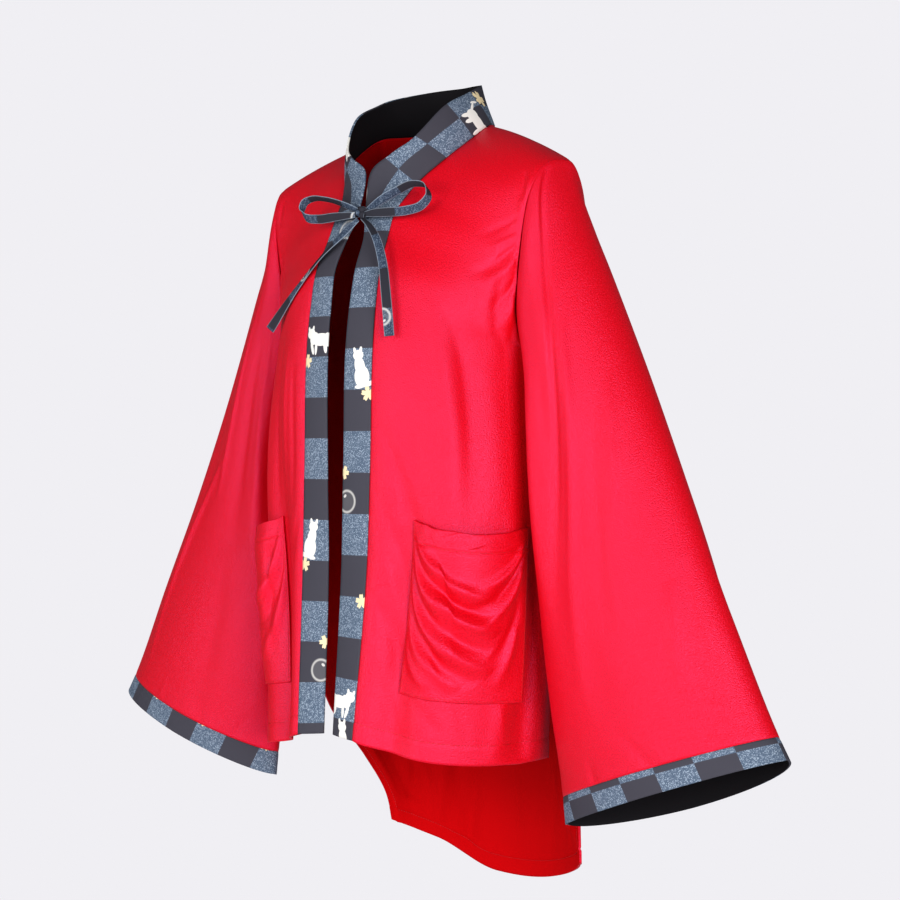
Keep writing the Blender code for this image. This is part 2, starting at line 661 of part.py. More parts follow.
def build_panels(parent):
    front = front_grid()
    back_half = back_half_grid()
    strip = strip_grid()
    front_out, back_out, strip_out = seam_offsets(front, back_half, strip)
    build_fronts(front, front_out, parent)
    build_back(back_half, back_out, parent)
    build_strip(strip, strip_out, parent)
    build_pockets(front, front_out, parent)


def build_fronts(front, front_out, parent):
    layers = [front.copy(), front - front_out * CLOTH]
    for layer in layers:
        pull_in(layer, np.s_[0, :], np.s_[1, :])
        pull_in(layer, np.s_[:, 0], np.s_[:, 1])
        pull_in(layer, np.s_[ARM_ROW : SLIT_ROW + 1, -1], np.s_[ARM_ROW : SLIT_ROW + 1, -2])
    wall("front_left", *layers, red("front_left"), parent)
    wall("front_right", *layers, red("front_right"), parent, mirrored=True)


def build_back(back_half, back_out, parent):
    """The back, mirrored from its left half. Its right corner is caught up a little at the hem."""
    layers = [back_half.copy(), back_half - back_out * CLOTH]
    for layer in layers:
        pull_in(layer, np.s_[0, :], np.s_[1, :])
        pull_in(layer, np.s_[ARM_ROW : SLIT_ROW + 1, -1], np.s_[ARM_ROW : SLIT_ROW + 1, -2])
    whole = [mirrored_rows(layer) for layer in layers]
    low = smooth_step((BACK_ROWS - BACK_SLIT_DOWN) / (BACK_LENGTH - BACK_SLIT_DOWN))
    out = smooth_step((BACK_HALF_COLUMNS[::-1] - TAIL_LIFT_FROM) / TAIL_LIFT_WIDTH)
    for layer in whole:
        layer[:, : len(out), 2] += TAIL_LIFT * low[:, None] * out[None, :]
    wall("back", *whole, red("back"), parent)


def build_strip(strip, strip_out, parent):
    """The collar runs round the neck to the tie on both sides, and a band goes on to the hem."""
    layers = [strip.copy(), strip - strip_out * BAND_CLOTH]
    for layer in layers:
        pull_in(layer, np.s_[:, 0], np.s_[:, 1])
    split = COLLAR_HALF_CELLS + TIE_ROW
    collar = []
    bands = []
    for layer in layers:
        upper = layer[: split + 1].copy()
        lower = layer[split:].copy()
        pull_in(upper, np.s_[-1, :], np.s_[-2, :])
        pull_in(lower, np.s_[0, :], np.s_[1, :])
        collar.append(mirrored_rows(upper.transpose(1, 0, 2)))
        bands.append(lower)
    wall("collar", *collar, slate("collar"), parent)
    wall("band_left", *bands, slate("band_left"), parent)
    wall("band_right", *bands, slate("band_right"), parent, mirrored=True)


def build_pockets(front, front_out, parent):
    """A patch on the front's own points, moved out. Its mouth sags and stands away."""
    inner_column = int(np.argmin(abs(FRONT_COLUMNS - POCKET_INNER)))
    outer_column = int(np.argmin(abs(FRONT_COLUMNS - POCKET_OUTER)))
    window = np.s_[MOUTH_ROW : SLIT_ROW + 1, inner_column : outer_column + 1]
    base = front[window]
    out = front_out[window]
    rows, columns = base.shape[:2]
    share_down = np.linspace(0, 1, rows)[:, None]
    share_across = np.linspace(0, 1, columns)[None, :]
    belly = np.sin(math.pi * share_across) * (1 - share_down) ** 1.5
    sag = unit(np.gradient(base, axis=0)) * (belly * POCKET_SAG)[..., None]
    stand = (SEAM_GAP + belly * POCKET_STAND)[..., None]
    under = base + sag + out * stand
    over = base + sag + out * (stand + CLOTH)
    wall("pocket_left", over, under, red("pocket_left"), parent)
    wall("pocket_right", over, under, red("pocket_right"), parent, mirrored=True)


def build_sleeves(parent):
    """The sleeves, and the cuffs that go on from their lower edges."""
    last = len(SLEEVE_ALONG) - 1
    for side, mirrored, lift in (("left", False, 0.0), ("right", True, RIGHT_CUFF_LIFT)):
        whole = sleeve_grid(np.concatenate([SLEEVE_ALONG, CUFF_ALONG[1:]]), lift)
        out = grid_normals(whole, wrap=True, flip=True)
        into_body = armhole_normal()
        whole[0] -= SEAM_GAP * into_body
        out[0] = unit(out[0] - (out[0] @ into_body)[:, None] * into_body)
        sleeve = [whole[: last + 1].copy(), whole[: last + 1] - out[: last + 1] * CLOTH]
        cuff = [whole[last:].copy(), whole[last:] - out[last:] * BAND_CLOTH]
        for layer in sleeve:
            pull_in(layer, np.s_[-1, :], np.s_[-2, :])
        for layer in cuff:
            pull_in(layer, np.s_[0, :], np.s_[1, :])
        sleeve_name = f"sleeve_{side}"
        cuff_name = f"cuff_{side}"
        wall(sleeve_name, *sleeve, red(sleeve_name), parent, wrap=True, mirrored=mirrored)
        wall(cuff_name, *cuff, slate(cuff_name), parent, wrap=True, mirrored=mirrored)


def ribbon(name, table, hangs, cells, parent):
    """A flat strip along the table's points, with a four-cornered section and closed ends.

    Its width stands upright and leans forward, or on a strip that hangs lies level and turns.
    """
    rows = np.array(table)
    steps = np.linalg.norm(np.diff(rows[:, :3], axis=0), axis=1)
    keys = np.concatenate([[0.0], np.cumsum(steps)])
    path = curve_through(np.column_stack([keys, rows]), np.linspace(0, keys[-1], cells + 1))
    centre = path[:, :3]
    c = np.cos(path[:, 3])
    s = np.sin(path[:, 3])
    tangent = unit(np.gradient(centre, axis=0))
    across = np.stack([c, s, 0 * s], axis=-1) if hangs else np.stack([0 * s, -s, c], axis=-1)
    width = unit(across - tangent * np.sum(across * tangent, axis=-1, keepdims=True))
    half_width = width * path[:, 4:5] / 2
    half_depth = np.cross(tangent, width) * TIE_CLOTH / 2
    corners = [
        centre + half_width + half_depth,
        centre + half_width - half_depth,
        centre - half_width - half_depth,
        centre - half_width + half_depth,
    ]
    points = np.stack(corners, axis=1).reshape(-1, 3)
    faces = [(0, 1, 2, 3)]
    for i in range(cells):
        for j in range(4):
            a = i * 4 + j
            b = i * 4 + (j + 1) % 4
            faces += [(a, b, b + 4), (a, b + 4, a + 4)]
    end = cells * 4
    faces.append((end + 3, end + 2, end + 1, end))
    return add_object(name, points, faces, slate(name), parent)


def build_tie(parent):
    shape = bmesh.new()
    bmesh.ops.create_uvsphere(shape, u_segments=12, v_segments=8, radius=1.0)
    bmesh.ops.scale(shape, vec=KNOT_RADII, verts=shape.verts)
    bmesh.ops.translate(shape, vec=KNOT_CENTRE, verts=shape.verts)
    for face in shape.faces:
        face.smooth = True
    mesh = bpy.data.meshes.new("tie_knot")
    shape.to_mesh(mesh)
    shape.free()
    mesh.materials.append(slate("tie_knot"))
    knot = bpy.data.objects.new("tie_knot", mesh)
    knot.parent = parent
    bpy.context.collection.objects.link(knot)
    ribbon("tie_loop_left", TIE_LOOP_LEFT, False, LOOP_CELLS, parent)
    ribbon("tie_loop_right", TIE_LOOP_RIGHT, False, LOOP_CELLS, parent)
    ribbon("tie_tail_left", TIE_TAIL_LEFT, True, TAIL_CELLS, parent)
    ribbon("tie_tail_right", TIE_TAIL_RIGHT, True, TAIL_CELLS, parent)
    ribbon("tie_root_left", TIE_ROOT_LEFT, False, ROOT_CELLS, parent)
    ribbon("tie_root_right", TIE_ROOT_RIGHT, False, ROOT_CELLS, parent)


def main():
    clear_scene()
    root = bpy.data.objects.new("haori", None)
    bpy.context.collection.objects.link(root)
    build_panels(root)
    build_sleeves(root)
    build_tie(root)


main()
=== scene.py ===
# %% [markdown]
# # A worn haori in red cloth with a checked neck band
#
# The real garment is a loose jacket of smooth red cloth. A printed band runs round its neck and
# down both fronts, and the same print makes the cuffs and a narrow tie in a bow. The solid model
# already holds each piece of the cut as a plain wall. Here every piece is made again as a thin
# cloth shell on the same form, with its folds, hems, stitches, print and sheen.

import math

import bmesh
import bpy
import numpy as np
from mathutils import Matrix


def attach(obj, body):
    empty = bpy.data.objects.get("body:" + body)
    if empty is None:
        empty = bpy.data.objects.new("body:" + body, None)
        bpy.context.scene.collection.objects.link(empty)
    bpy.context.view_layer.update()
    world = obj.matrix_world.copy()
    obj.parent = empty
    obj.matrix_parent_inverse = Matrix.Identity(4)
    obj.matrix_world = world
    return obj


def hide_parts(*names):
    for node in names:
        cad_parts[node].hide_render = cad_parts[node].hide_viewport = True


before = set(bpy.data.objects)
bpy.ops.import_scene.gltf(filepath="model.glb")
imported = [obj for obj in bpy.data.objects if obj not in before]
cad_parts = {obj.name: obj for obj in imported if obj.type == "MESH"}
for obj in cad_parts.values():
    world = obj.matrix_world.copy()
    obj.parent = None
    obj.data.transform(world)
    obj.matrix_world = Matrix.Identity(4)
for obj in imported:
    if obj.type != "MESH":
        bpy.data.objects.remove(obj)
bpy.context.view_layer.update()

# %% [markdown]
# ## Camera, lights and floor
#
# The picture was taken from the wearer's front left, level with the waist. A long lens keeps the
# sleeves from spreading, so the camera stands 2.2 m away and nothing is shifted. Three large boxes
# light it, level with it: the strongest at the right, the others in front and at the left. The
# world is pale to the eye but gives little light, so the folds keep their depth.

# %% Camera
VIEW_TURN = math.radians(40)
CAMERA_PLACE = (1.4650, -1.6909, -0.36)
LENS = 81.36

camera = bpy.data.objects.new("camera", bpy.data.cameras.new("camera"))
camera.data.lens = LENS
camera.data.sensor_width = 36
camera.location = CAMERA_PLACE
camera.rotation_euler = (math.radians(90), 0, VIEW_TURN)
bpy.context.collection.objects.link(camera)
bpy.context.scene.camera = camera
print("camera at", CAMERA_PLACE, "lens", LENS)

# %% Pale world and soft lights
BACKGROUND = (0.735, 0.727, 0.755, 1.0)
ROOM_COLOUR = (0.95, 0.96, 1.0, 1.0)
ROOM_LIGHT = 0.13
LIGHT_TARGET = (0, 0, -0.38)
# name, place, width, height, watts
LIGHTS = (
    ("right_box", (2.94, -1.70, -0.10), 1.4, 1.3, 80),
    ("left_box", (-1.80, -2.60, -0.10), 1.6, 1.5, 27),
    ("front_box", (0.30, -2.90, -0.10), 1.4, 1.2, 38),
)

world = bpy.data.worlds.new("studio")
bpy.context.scene.world = world
world.use_nodes = True
tree = world.node_tree
seen = tree.nodes["Background"]
seen.inputs["Color"].default_value = BACKGROUND
room = tree.nodes.new("ShaderNodeBackground")
room.inputs["Color"].default_value = ROOM_COLOUR
room.inputs["Strength"].default_value = ROOM_LIGHT
rays = tree.nodes.new("ShaderNodeLightPath")
choice = tree.nodes.new("ShaderNodeMixShader")
tree.links.new(rays.outputs["Is Camera Ray"], choice.inputs[0])
tree.links.new(room.outputs[0], choice.inputs[1])
tree.links.new(seen.outputs[0], choice.inputs[2])
tree.links.new(choice.outputs[0], tree.nodes["World Output"].inputs["Surface"])
bpy.context.scene.view_settings.view_transform = "Standard"
bpy.context.scene.view_settings.look = "Medium High Contrast"

for name, place, width, height, watts in LIGHTS:
    light = bpy.data.lights.new(name, "AREA")
    light.shape = "RECTANGLE"
    light.size = width
    light.size_y = height
    light.energy = watts
    obj = bpy.data.objects.new(name, light)
    obj.location = place
    away = np.array(place) - np.array(LIGHT_TARGET)
    tilt = math.atan2(math.hypot(away[0], away[1]), away[2])
    obj.rotation_euler = (tilt, 0, math.atan2(away[1], away[0]) + math.pi / 2)
    bpy.context.collection.objects.link(obj)
print("lights", [row[0] for row in LIGHTS])

# %% Floor
FLOOR_LEVEL = -1.50
FLOOR_RADIUS = 2.7


def plain_material(name, colour, roughness):
    material = bpy.data.materials.new(name)
    material.use_nodes = True
    shader = material.node_tree.nodes["Principled BSDF"]
    shader.inputs["Base Color"].default_value = colour
    shader.inputs["Roughness"].default_value = roughness
    return material


def object_from(name, shape, material):
    """Turn a bmesh into an object at the origin, smooth shaded, with one material."""
    mesh = bpy.data.meshes.new(name)
    for face in shape.faces:
        face.smooth = True
    shape.to_mesh(mesh)
    shape.free()
    mesh.materials.append(material)
    obj = bpy.data.objects.new(name, mesh)
    bpy.context.collection.objects.link(obj)
    return obj


shape = bmesh.new()
bmesh.ops.create_circle(shape, cap_ends=True, segments=96, radius=FLOOR_RADIUS)
for vertex in shape.verts:
    vertex.co.z = FLOOR_LEVEL
floor = object_from("floor", shape, plain_material("floor_paint", (0.86, 0.86, 0.88, 1), 0.7))
print("floor at", FLOOR_LEVEL)

# %% [markdown]
# ## The form of the garment
#
# A tailor thinks in seams: the neck seam, the armholes, the side seams and the hems. These tables
# hold those lines as they hang when the haori is worn, in metres. The same numbers shaped the
# solid model, so the cloth lies on that model's form.

# %% Cloth and seam lines
CLOTH = 0.0016
BAND_CLOTH = 0.0022

# seam_x, seam_y, seam_z, free_x, free_y, free_z
NECK_LINE = {
    "nape": (0, 0.078, 0.001, 0, 0.079, 0.048),
    "back of neck": (0.034, 0.0735, 0, 0.036, 0.066, 0.046),
    "behind shoulder": (0.062, 0.058, -0.003, 0.06, 0.03, 0.036),
    "shoulder": (0.078, 0.028, -0.0075, 0.0655, 0.0038, 0.025),
    "side of neck": (0.08, -0.005, -0.026, 0.0635, -0.03, 0.008),
    "front of neck": (0.0705, -0.04, -0.052, 0.047, -0.064, -0.03),
    "throat": (0.055, -0.06, -0.074, 0.0274, -0.0769, -0.046),
    "tip": (0.047, -0.072, -0.09, 0.0045, -0.082, -0.063),
    "tie": (0.0425, -0.086, -0.109, 0.0055, -0.092, -0.108),
    "below tie": (0.0432, -0.098, -0.135, 0.012, -0.1015, -0.134),
    "chest": (0.046, -0.113, -0.168, 0.0148, -0.1175, -0.168),
    "bust": (0.0467, -0.1217, -0.211, 0.0137, -0.126, -0.211),
    "waist": (0.0469, -0.1306, -0.383, 0.0115, -0.1329, -0.383),
    "belly": (0.046, -0.1335, -0.468, 0.0097, -0.1332, -0.468),
    "hem": (0.0391, -0.1489, -0.66, 0.0066, -0.1435, -0.657),
}
BAND_BULGE = 0.0015
SHOULDER_BOW = 0.0050

SHOULDER_TIP = np.array([0.200, 0.008, -0.058])
UNDERARM = np.array([0.169, 0.015, -0.262])
ARMHOLE_FRONT = np.array([-0.0121, -0.0515, 0.0])
ARMHOLE_BACK = np.array([0.0082, 0.0350, 0.0])
FRONT_BLUNTNESS = 3.0
BACK_BLUNTNESS = 1.9

# %% Side seam, tail edge and centre of the back
# below, x, y
SIDE_LINE = (
    (0.262, 0.169, 0.015),
    (0.32, 0.1725, 0.017),
    (0.42, 0.1745, 0.018),
    (0.55, 0.172, 0.018),
    (0.684, 0.1665, 0.018),
)
TAIL_EDGE = (
    (0.62, 0.1694, 0.018),
    (0.665, 0.168, 0.04),
    (0.73, 0.156, 0.084),
    (0.785, 0.142, 0.108),
    (0.814, 0.139, 0.113),
)
UNDERARM_BELOW = -UNDERARM[2]
SLIT_BELOW = TAIL_EDGE[0][0]
FRONT_HEM_BELOW = SIDE_LINE[-1][0]
TAIL_BELOW = TAIL_EDGE[-1][0]

# down, y, z
BACK_LINE = (
    (0, 0.078, 0.002),
    (0.06, 0.095, -0.054),
    (0.13, 0.11, -0.12),
    (0.21, 0.117, -0.198),
    (0.28, 0.119, -0.268),
    (0.38, 0.123, -0.368),
    (0.5, 0.136, -0.487),
    (0.62, 0.152, -0.606),
    (0.72, 0.165, -0.705),
    (0.872, 0.178, -0.855),
)

# down, roundness
FRONT_ROUNDNESS = ((0.0, 0.0), (0.06, 0.25), (0.13, 0.5), (0.24, 0.85), (0.33, 1.0), (0.80, 1.0))
BACK_ROUNDNESS = ((0, 0.1), (0.08, 0.5), (0.2, 0.9), (0.28, 1), (0.62, 1), (0.74, 0.7), (0.872, 0.55))
ROUND_PULL = 0.56
ARMHOLE_LEAN = 0.235
LEAN_FADE = 0.15
FRONT_HEM_DIP = 0.010
NECK_FADE = 0.15
SHOULDER_FADE = 0.08
BAND_FADE = 0.12
EDGE_FADE = 0.08
TAIL_LIFT = 0.0160
TAIL_LIFT_FROM = 0.15
TAIL_LIFT_WIDTH = 0.45
# how far a cuff is caught up
CUFF_LIFTS = {"left": 0.0, "right": 0.0080}
MIRROR = (-1, 1, 1)
# name, and 1 or -1 for the wearer's left or right
SIDES = (("left", 1), ("right", -1))

# %% Stations down the panels
TIE_DOWN = 0.1656
FRONT_ARM_DOWN = 0.310
MOUTH_DOWN = 0.487
MOUTH_HEM = 0.020
SLIT_DOWN = 0.660
HEM_WIDTH = 0.020
BACK_ARM_DOWN = 0.280
BACK_SLIT_DOWN = 0.636
BACK_LENGTH = BACK_LINE[-1][0]
BACK_NECK = 0.42

POCKET_INNER = 0.25
POCKET_OUTER = 0.83
POCKET_SLANT = 0.035
POCKET_STAND = 0.011
POCKET_SAG = 0.010
POCKET_LAY = 0.0003

# along, outer_x, y, z, inner_x, y, z, front, back, blunt outside, inside, behind, lean, rise, hang
SLEEVE_ROWS = (
    (0, 0.2, 0.008, -0.058, 0.169, 0.015, -0.262, 0.0515, 0.035, 3, 3, -1.1, 0.235, 0, 0),
    (0.05, 0.204, 0.005, -0.079, 0.177, 0.008, -0.286, 0.0515, 0.0375, 2.6, 2.8, -0.6, 0.2, 0, 0),
    (0.11, 0.2155, 0.008, -0.117, 0.1815, 0.003, -0.315, 0.053, 0.0445, 2.1, 2.6, 0, 0.16, 0, 0),
    (0.19, 0.237, 0.013, -0.165, 0.1845, -0.002, -0.352, 0.0555, 0.048, 2, 2.8, 0, 0.1, 0, 0),
    (0.35, 0.28, 0.019, -0.262, 0.1855, -0.006, -0.425, 0.0565, 0.0485, 2, 3, 0, 0, 0, 0),
    (0.6, 0.3465, 0.013, -0.408, 0.1915, -0.009, -0.54, 0.0525, 0.0455, 2, 2.6, 0, 0, 0, 0.003),
    (0.8, 0.3985, 0.005, -0.52, 0.199, -0.01, -0.632, 0.051, 0.043, 2, 2.1, 0, 0, 0.001, 0.008),
    (1, 0.4545, 0.002, -0.6345, 0.209, -0.01, -0.718, 0.05, 0.043, 2, 1.7, 0, 0, 0.003, 0.018),
    (1.045, 0.467, 0.001, -0.655, 0.212, -0.01, -0.7455, 0.05, 0.043, 2, 1.7, 0, 0, 0.003, 0.019),
)
CUFF_TOP = 1.0
CUFF_END = SLEEVE_ROWS[-1][0]
print("armhole at", FRONT_ARM_DOWN, "pocket mouth at", MOUTH_DOWN, "back length", BACK_LENGTH)

# %% Curves and blends


def curve_through(table, at):
    """Smooth curve through the rows of a table whose first column is the parameter."""
    rows = np.asarray(table, float)
    keys = rows[:, 0]
    values = rows[:, 1:]
    slopes = np.gradient(values, keys, axis=0)
    at = np.asarray(at, float)
    index = np.clip(np.searchsorted(keys, at, side="right") - 1, 0, len(keys) - 2)
    span = (keys[index + 1] - keys[index])[..., None]
    t = (at - keys[index])[..., None] / span
    ease = t * t * (3 - 2 * t)
    rise = slopes[index] * span * t * (1 - t) ** 2
    fall = slopes[index + 1] * span * t * t * (1 - t)
    return values[index] * (1 - ease) + values[index + 1] * ease + rise - fall


def run_lengths(line):
    """Metres along a line, from its first point to each point."""
    return np.concatenate([[0.0], np.cumsum(np.linalg.norm(np.diff(line, axis=0), axis=1))])


def unit(vectors):
    return vectors / np.maximum(np.linalg.norm(vectors, axis=-1, keepdims=True), 1e-12)


def smooth_step(x):
    x = np.clip(x, 0, 1)
    return x * x * (3 - 2 * x)


def between(x, end, fade):
    """1 inside a stretch from 0 to end, and 0 at both of its ends."""
    return smooth_step(x / fade) * smooth_step((end - x) / fade)


def bezier(start, pull_start, pull_end, end, t):
    return (
        start * (1 - t) ** 3
        + 3 * pull_start * t * (1 - t) ** 2
        + 3 * pull_end * t * t * (1 - t)
        + end * t**3
    )


neck_rows = np.array(list(NECK_LINE.values()))
NECK = np.column_stack([run_lengths(neck_rows[:, :3]), neck_rows])
NECK_SHOULDER = NECK[list(NECK_LINE).index("shoulder"), 0]
FRONT_LENGTH = NECK[-1, 0] - NECK_SHOULDER
print("front length %.3f m, half of the neck seam behind the shoulder %.3f m" % (FRONT_LENGTH, NECK_SHOULDER))

# %% Armhole and edges


def superellipse(angle, bluntness):
    """Reach of a rounded oval of half size 1: 2 is a circle, and more is blunter."""
    return (np.abs(np.cos(angle)) ** bluntness + np.abs(np.sin(angle)) ** bluntness) ** (-1 / bluntness)


def armhole(angle, depth, bluntness):
    """A point of the armhole ring: angle 0 at the shoulder tip and pi at the underarm."""
    middle = (SHOULDER_TIP + UNDERARM) / 2
    half = (SHOULDER_TIP - UNDERARM) / 2
    reach = superellipse(angle, bluntness)
    up = (np.cos(angle) * reach)[..., None]
    out = (np.sin(angle) * reach)[..., None]
    return middle + up * half + out * depth


def armhole_share(share, depth, bluntness):
    """The armhole's point at this share of its length from the shoulder tip."""
    angles = np.linspace(0, math.pi, 200)
    lengths = run_lengths(armhole(angles, depth, bluntness))
    return armhole(np.interp(share, lengths / lengths[-1], angles), depth, bluntness)


def edge_line(table, below):
    flat = curve_through(table, below)
    return np.stack([flat[..., 0], flat[..., 1], -below], axis=-1)


def front_edge(down):
    """The front's outer edge: the armhole, then the side seam."""
    on_arm = armhole_share(np.clip(down / FRONT_ARM_DOWN, 0, 1), ARMHOLE_FRONT, FRONT_BLUNTNESS)
    share = (down - FRONT_ARM_DOWN) / (SLIT_DOWN - FRONT_ARM_DOWN)
    to_slit = UNDERARM_BELOW + share * (SLIT_BELOW - UNDERARM_BELOW)
    past = (down - SLIT_DOWN) / (FRONT_LENGTH - SLIT_DOWN)
    to_hem = SLIT_BELOW + past * (FRONT_HEM_BELOW - SLIT_BELOW)
    below = np.where(down <= SLIT_DOWN, to_slit, to_hem)
    on_side = edge_line(SIDE_LINE, np.maximum(below, UNDERARM_BELOW))
    return np.where((down <= FRONT_ARM_DOWN)[..., None], on_arm, on_side)


def back_edge(down):
    """The back's outer edge: the armhole, the side seam, then the edge of the tail."""
    on_arm = armhole_share(np.clip(down / BACK_ARM_DOWN, 0, 1), ARMHOLE_BACK, BACK_BLUNTNESS)
    share = (down - BACK_ARM_DOWN) / (BACK_SLIT_DOWN - BACK_ARM_DOWN)
    below = np.clip(UNDERARM_BELOW + share * (SLIT_BELOW - UNDERARM_BELOW), UNDERARM_BELOW, SLIT_BELOW)
    past = (down - BACK_SLIT_DOWN) / (BACK_LENGTH - BACK_SLIT_DOWN)
    tail_below = np.clip(SLIT_BELOW + past * (TAIL_BELOW - SLIT_BELOW), SLIT_BELOW, TAIL_BELOW)
    on_side = edge_line(SIDE_LINE, below)
    on_tail = edge_line(TAIL_EDGE, tail_below)
    low = np.where((down <= BACK_SLIT_DOWN)[..., None], on_side, on_tail)
    return np.where((down <= BACK_ARM_DOWN)[..., None], on_arm, low)


# %% Rows across the fronts and the back


def lean_at(down, arm_down):
    return ARMHOLE_LEAN * smooth_step(1 - (down - arm_down) / LEAN_FADE)[..., None]


def row_curve(start, end, roundness, lean, flat_start, across):
    """Rows from start to end that leave start sideways and reach end running front to back."""
    span = end - start
    sideways = np.array([1.0, 0.0, 0.0])
    to_back = np.array([0.0, 1.0, 0.0])
    drop = np.array([0.0, 0.0, 1.0]) / 3
    start_drop = 0.0 if flat_start else drop
    straight = np.array([1.0, 0.0, 0.0]) / 3 if flat_start else 1 / 3
    round_start = start + span * (sideways * ROUND_PULL + start_drop)
    round_end = end - span * (to_back * ROUND_PULL + drop)
    round_end = round_end - sideways * lean * span[..., 1:2] * ROUND_PULL
    plain_start = start + span * straight
    plain_end = end - span / 3
    pull_start = plain_start + roundness * (round_start - plain_start)
    pull_end = plain_end + roundness * (round_end - plain_end)
    return bezier(start, pull_start, pull_end, end, across)


def front_surface(across, down):
    """The left front, across from its band seam (0) to its outer edge (1)."""
    low = np.clip((down - MOUTH_DOWN) / (SLIT_DOWN - MOUTH_DOWN), 0, 1)
    slant = np.interp(across, (0, POCKET_INNER, POCKET_OUTER, 1), (0, 1, 0, 0))
    across = across - POCKET_SLANT * low * slant
    start = curve_through(NECK, NECK_SHOULDER + down)[..., :3]
    end = front_edge(down)
    roundness = curve_through(FRONT_ROUNDNESS, down)
    t = across[..., None]
    points = row_curve(start, end, roundness, lean_at(down, FRONT_ARM_DOWN), False, t)
    fade = smooth_step(1 - down / SHOULDER_FADE)[..., None]
    points[..., 2:] += SHOULDER_BOW * fade * 4 * t * (1 - t)
    dip = FRONT_HEM_DIP * smooth_step((down - MOUTH_DOWN) / (FRONT_LENGTH - MOUTH_DOWN))[..., None]
    points[..., 2:] -= dip * 4 * t * (1 - t)
    return points


def back_neckline(across):
    """The back's top edge: the neck seam, then the shoulder seam."""
    on_neck = curve_through(NECK, np.clip(across / BACK_NECK, 0, 1) * NECK_SHOULDER)[..., :3]
    point = np.array(NECK_LINE["shoulder"][:3])
    share = np.clip((across - BACK_NECK) / (1 - BACK_NECK), 0, 1)[..., None]
    on_shoulder = point + share * (SHOULDER_TIP - point)
    on_shoulder[..., 2:] += SHOULDER_BOW * 4 * share * (1 - share)
    return np.where((across <= BACK_NECK)[..., None], on_neck, on_shoulder)


def back_surface(across, down):
    """The left half of the back, across from its centre line (0) to its outer edge (1)."""
    centre = curve_through(BACK_LINE, down)
    start = np.concatenate([np.zeros_like(centre[..., :1]), centre], axis=-1)
    end = back_edge(down)
    roundness = curve_through(BACK_ROUNDNESS, down)
    t = across[..., None]
    top = np.zeros((1, 1))
    top_start = np.array([0.0, *BACK_LINE[0][1:]])
    top_lean = lean_at(top, BACK_ARM_DOWN)
    top_row = row_curve(top_start, back_edge(top), curve_through(BACK_ROUNDNESS, top), top_lean, True, t)
    rows = row_curve(start, end, roundness, lean_at(down, BACK_ARM_DOWN), True, t)
    fade = smooth_step(1 - down / NECK_FADE)[..., None]
    return rows + fade * (back_neckline(across) - top_row)


def sleeve_surface(turn, along):
    """The left sleeve, turn from its outer edge (0) by its front (0.25) to its inside (0.5)."""
    rows = curve_through(SLEEVE_ROWS, along)[..., None, :]
    outer = rows[..., 0:3]
    inner = rows[..., 3:6]
    front, back, blunt_out, blunt_in, behind, lean, rise, hang = np.moveaxis(rows[..., 6:], -1, 0)
    angle = 2 * math.pi * turn
    c = np.cos(angle)
    s = np.sin(angle)
    bluntness = np.where(c < 0, blunt_in, blunt_out) + np.where(s < 0, behind, 0.0)
    reach = superellipse(angle, bluntness)
    depth = -reach * s * np.where(s > 0, front, back)
    points = (outer + inner) / 2 + (c * reach)[..., None] * (outer - inner) / 2
    points[..., 0] += depth * lean
    points[..., 1] += depth
    points[..., 2] += reach * s * np.where(s > 0, rise, hang)
    return points


print("surfaces: front, back and sleeve")

# %% [markdown]
# ## Folds
#
# Worn cloth is never even: it drags from a pocket's corner, gathers below a sleeve head and falls
# in long soft folds. Each fold is one row of a table: where it starts and ends, how it bends, how
# wide and how high it is. A function turns the rows into heights, and every piece is pushed out
# or in along its own normals. A cloth simulation could settle folds by itself. It wasn't tried
# here, because each fold has its own place, and a table row puts it there.

# %% Large folds, on the solid model's own lines
# across, down from, down to, lean, width, height
FRONT_FOLDS = (
    (0.8, 0.1, 0.33, -0.35, 0.045, 0.0012),
    (0.9, 0.12, 0.36, -0.6, 0.035, -0.0008),
    (0.4, 0.22, 0.5, 0.2, 0.06, 0.0016),
    (0.23, 0.3, 0.98, 0, 0.115, -0.02),
    (0.93, 0.42, 0.72, 0.05, 0.035, 0.0008),
)
BACK_FOLDS = (
    (0.8, 0.1, 0.38, -0.4, 0.05, 0.005),
    (0.3, 0.35, 0.9, 0.1, 0.05, 0.005),
    (0.52, 0.45, 0.9, 0.15, 0.045, -0.005),
    (0.74, 0.5, 0.9, 0.1, 0.05, 0.0055),
    (0.9, 0.62, 0.9, 0, 0.04, -0.004),
)
# turn, from, to, lean, width, height
SLEEVE_FOLDS = (
    (0.27, 0.02, 0.66, 0.05, 0.03, -0.0026),
    (0.2, 0.03, 0.5, 0.03, 0.022, 0.0014),
    (0.35, 0.06, 0.7, 0.04, 0.025, 0.004),
    (0.12, 0.35, 0.98, 0.04, 0.03, 0.0012),
    (0.3, 0.6, 1, -0.1, 0.025, -0.0012),
    (0.72, 0.05, 0.75, -0.04, 0.028, 0.005),
    (0.8, 0.1, 0.7, -0.03, 0.025, -0.0045),
    (0.64, 0.2, 0.9, -0.05, 0.028, -0.004),
)


def fold_heights(folds, across, down, wrap):
    """Height of all large folds at each grid point. Every fold fades out at both of its ends."""
    total = np.zeros(np.broadcast(across, down).shape)
    for at, top, bottom, lean, width, height in folds:
        offset = across - at - lean * (down - top)
        if wrap:
            offset = (offset + 0.5) % 1.0 - 0.5
        share = np.clip((down - top) / (bottom - top), 0, 1)
        total = total + height * np.exp(-((offset / width) ** 2)) * np.sin(math.pi * share) ** 2
    return total


# %% Creases: folds that may run in any direction
# how sharply a crease dies out, and the shares of its length between which it is highest
CREASE_TAPER = 1.6
PEAK_RANGE = (0.08, 0.92)


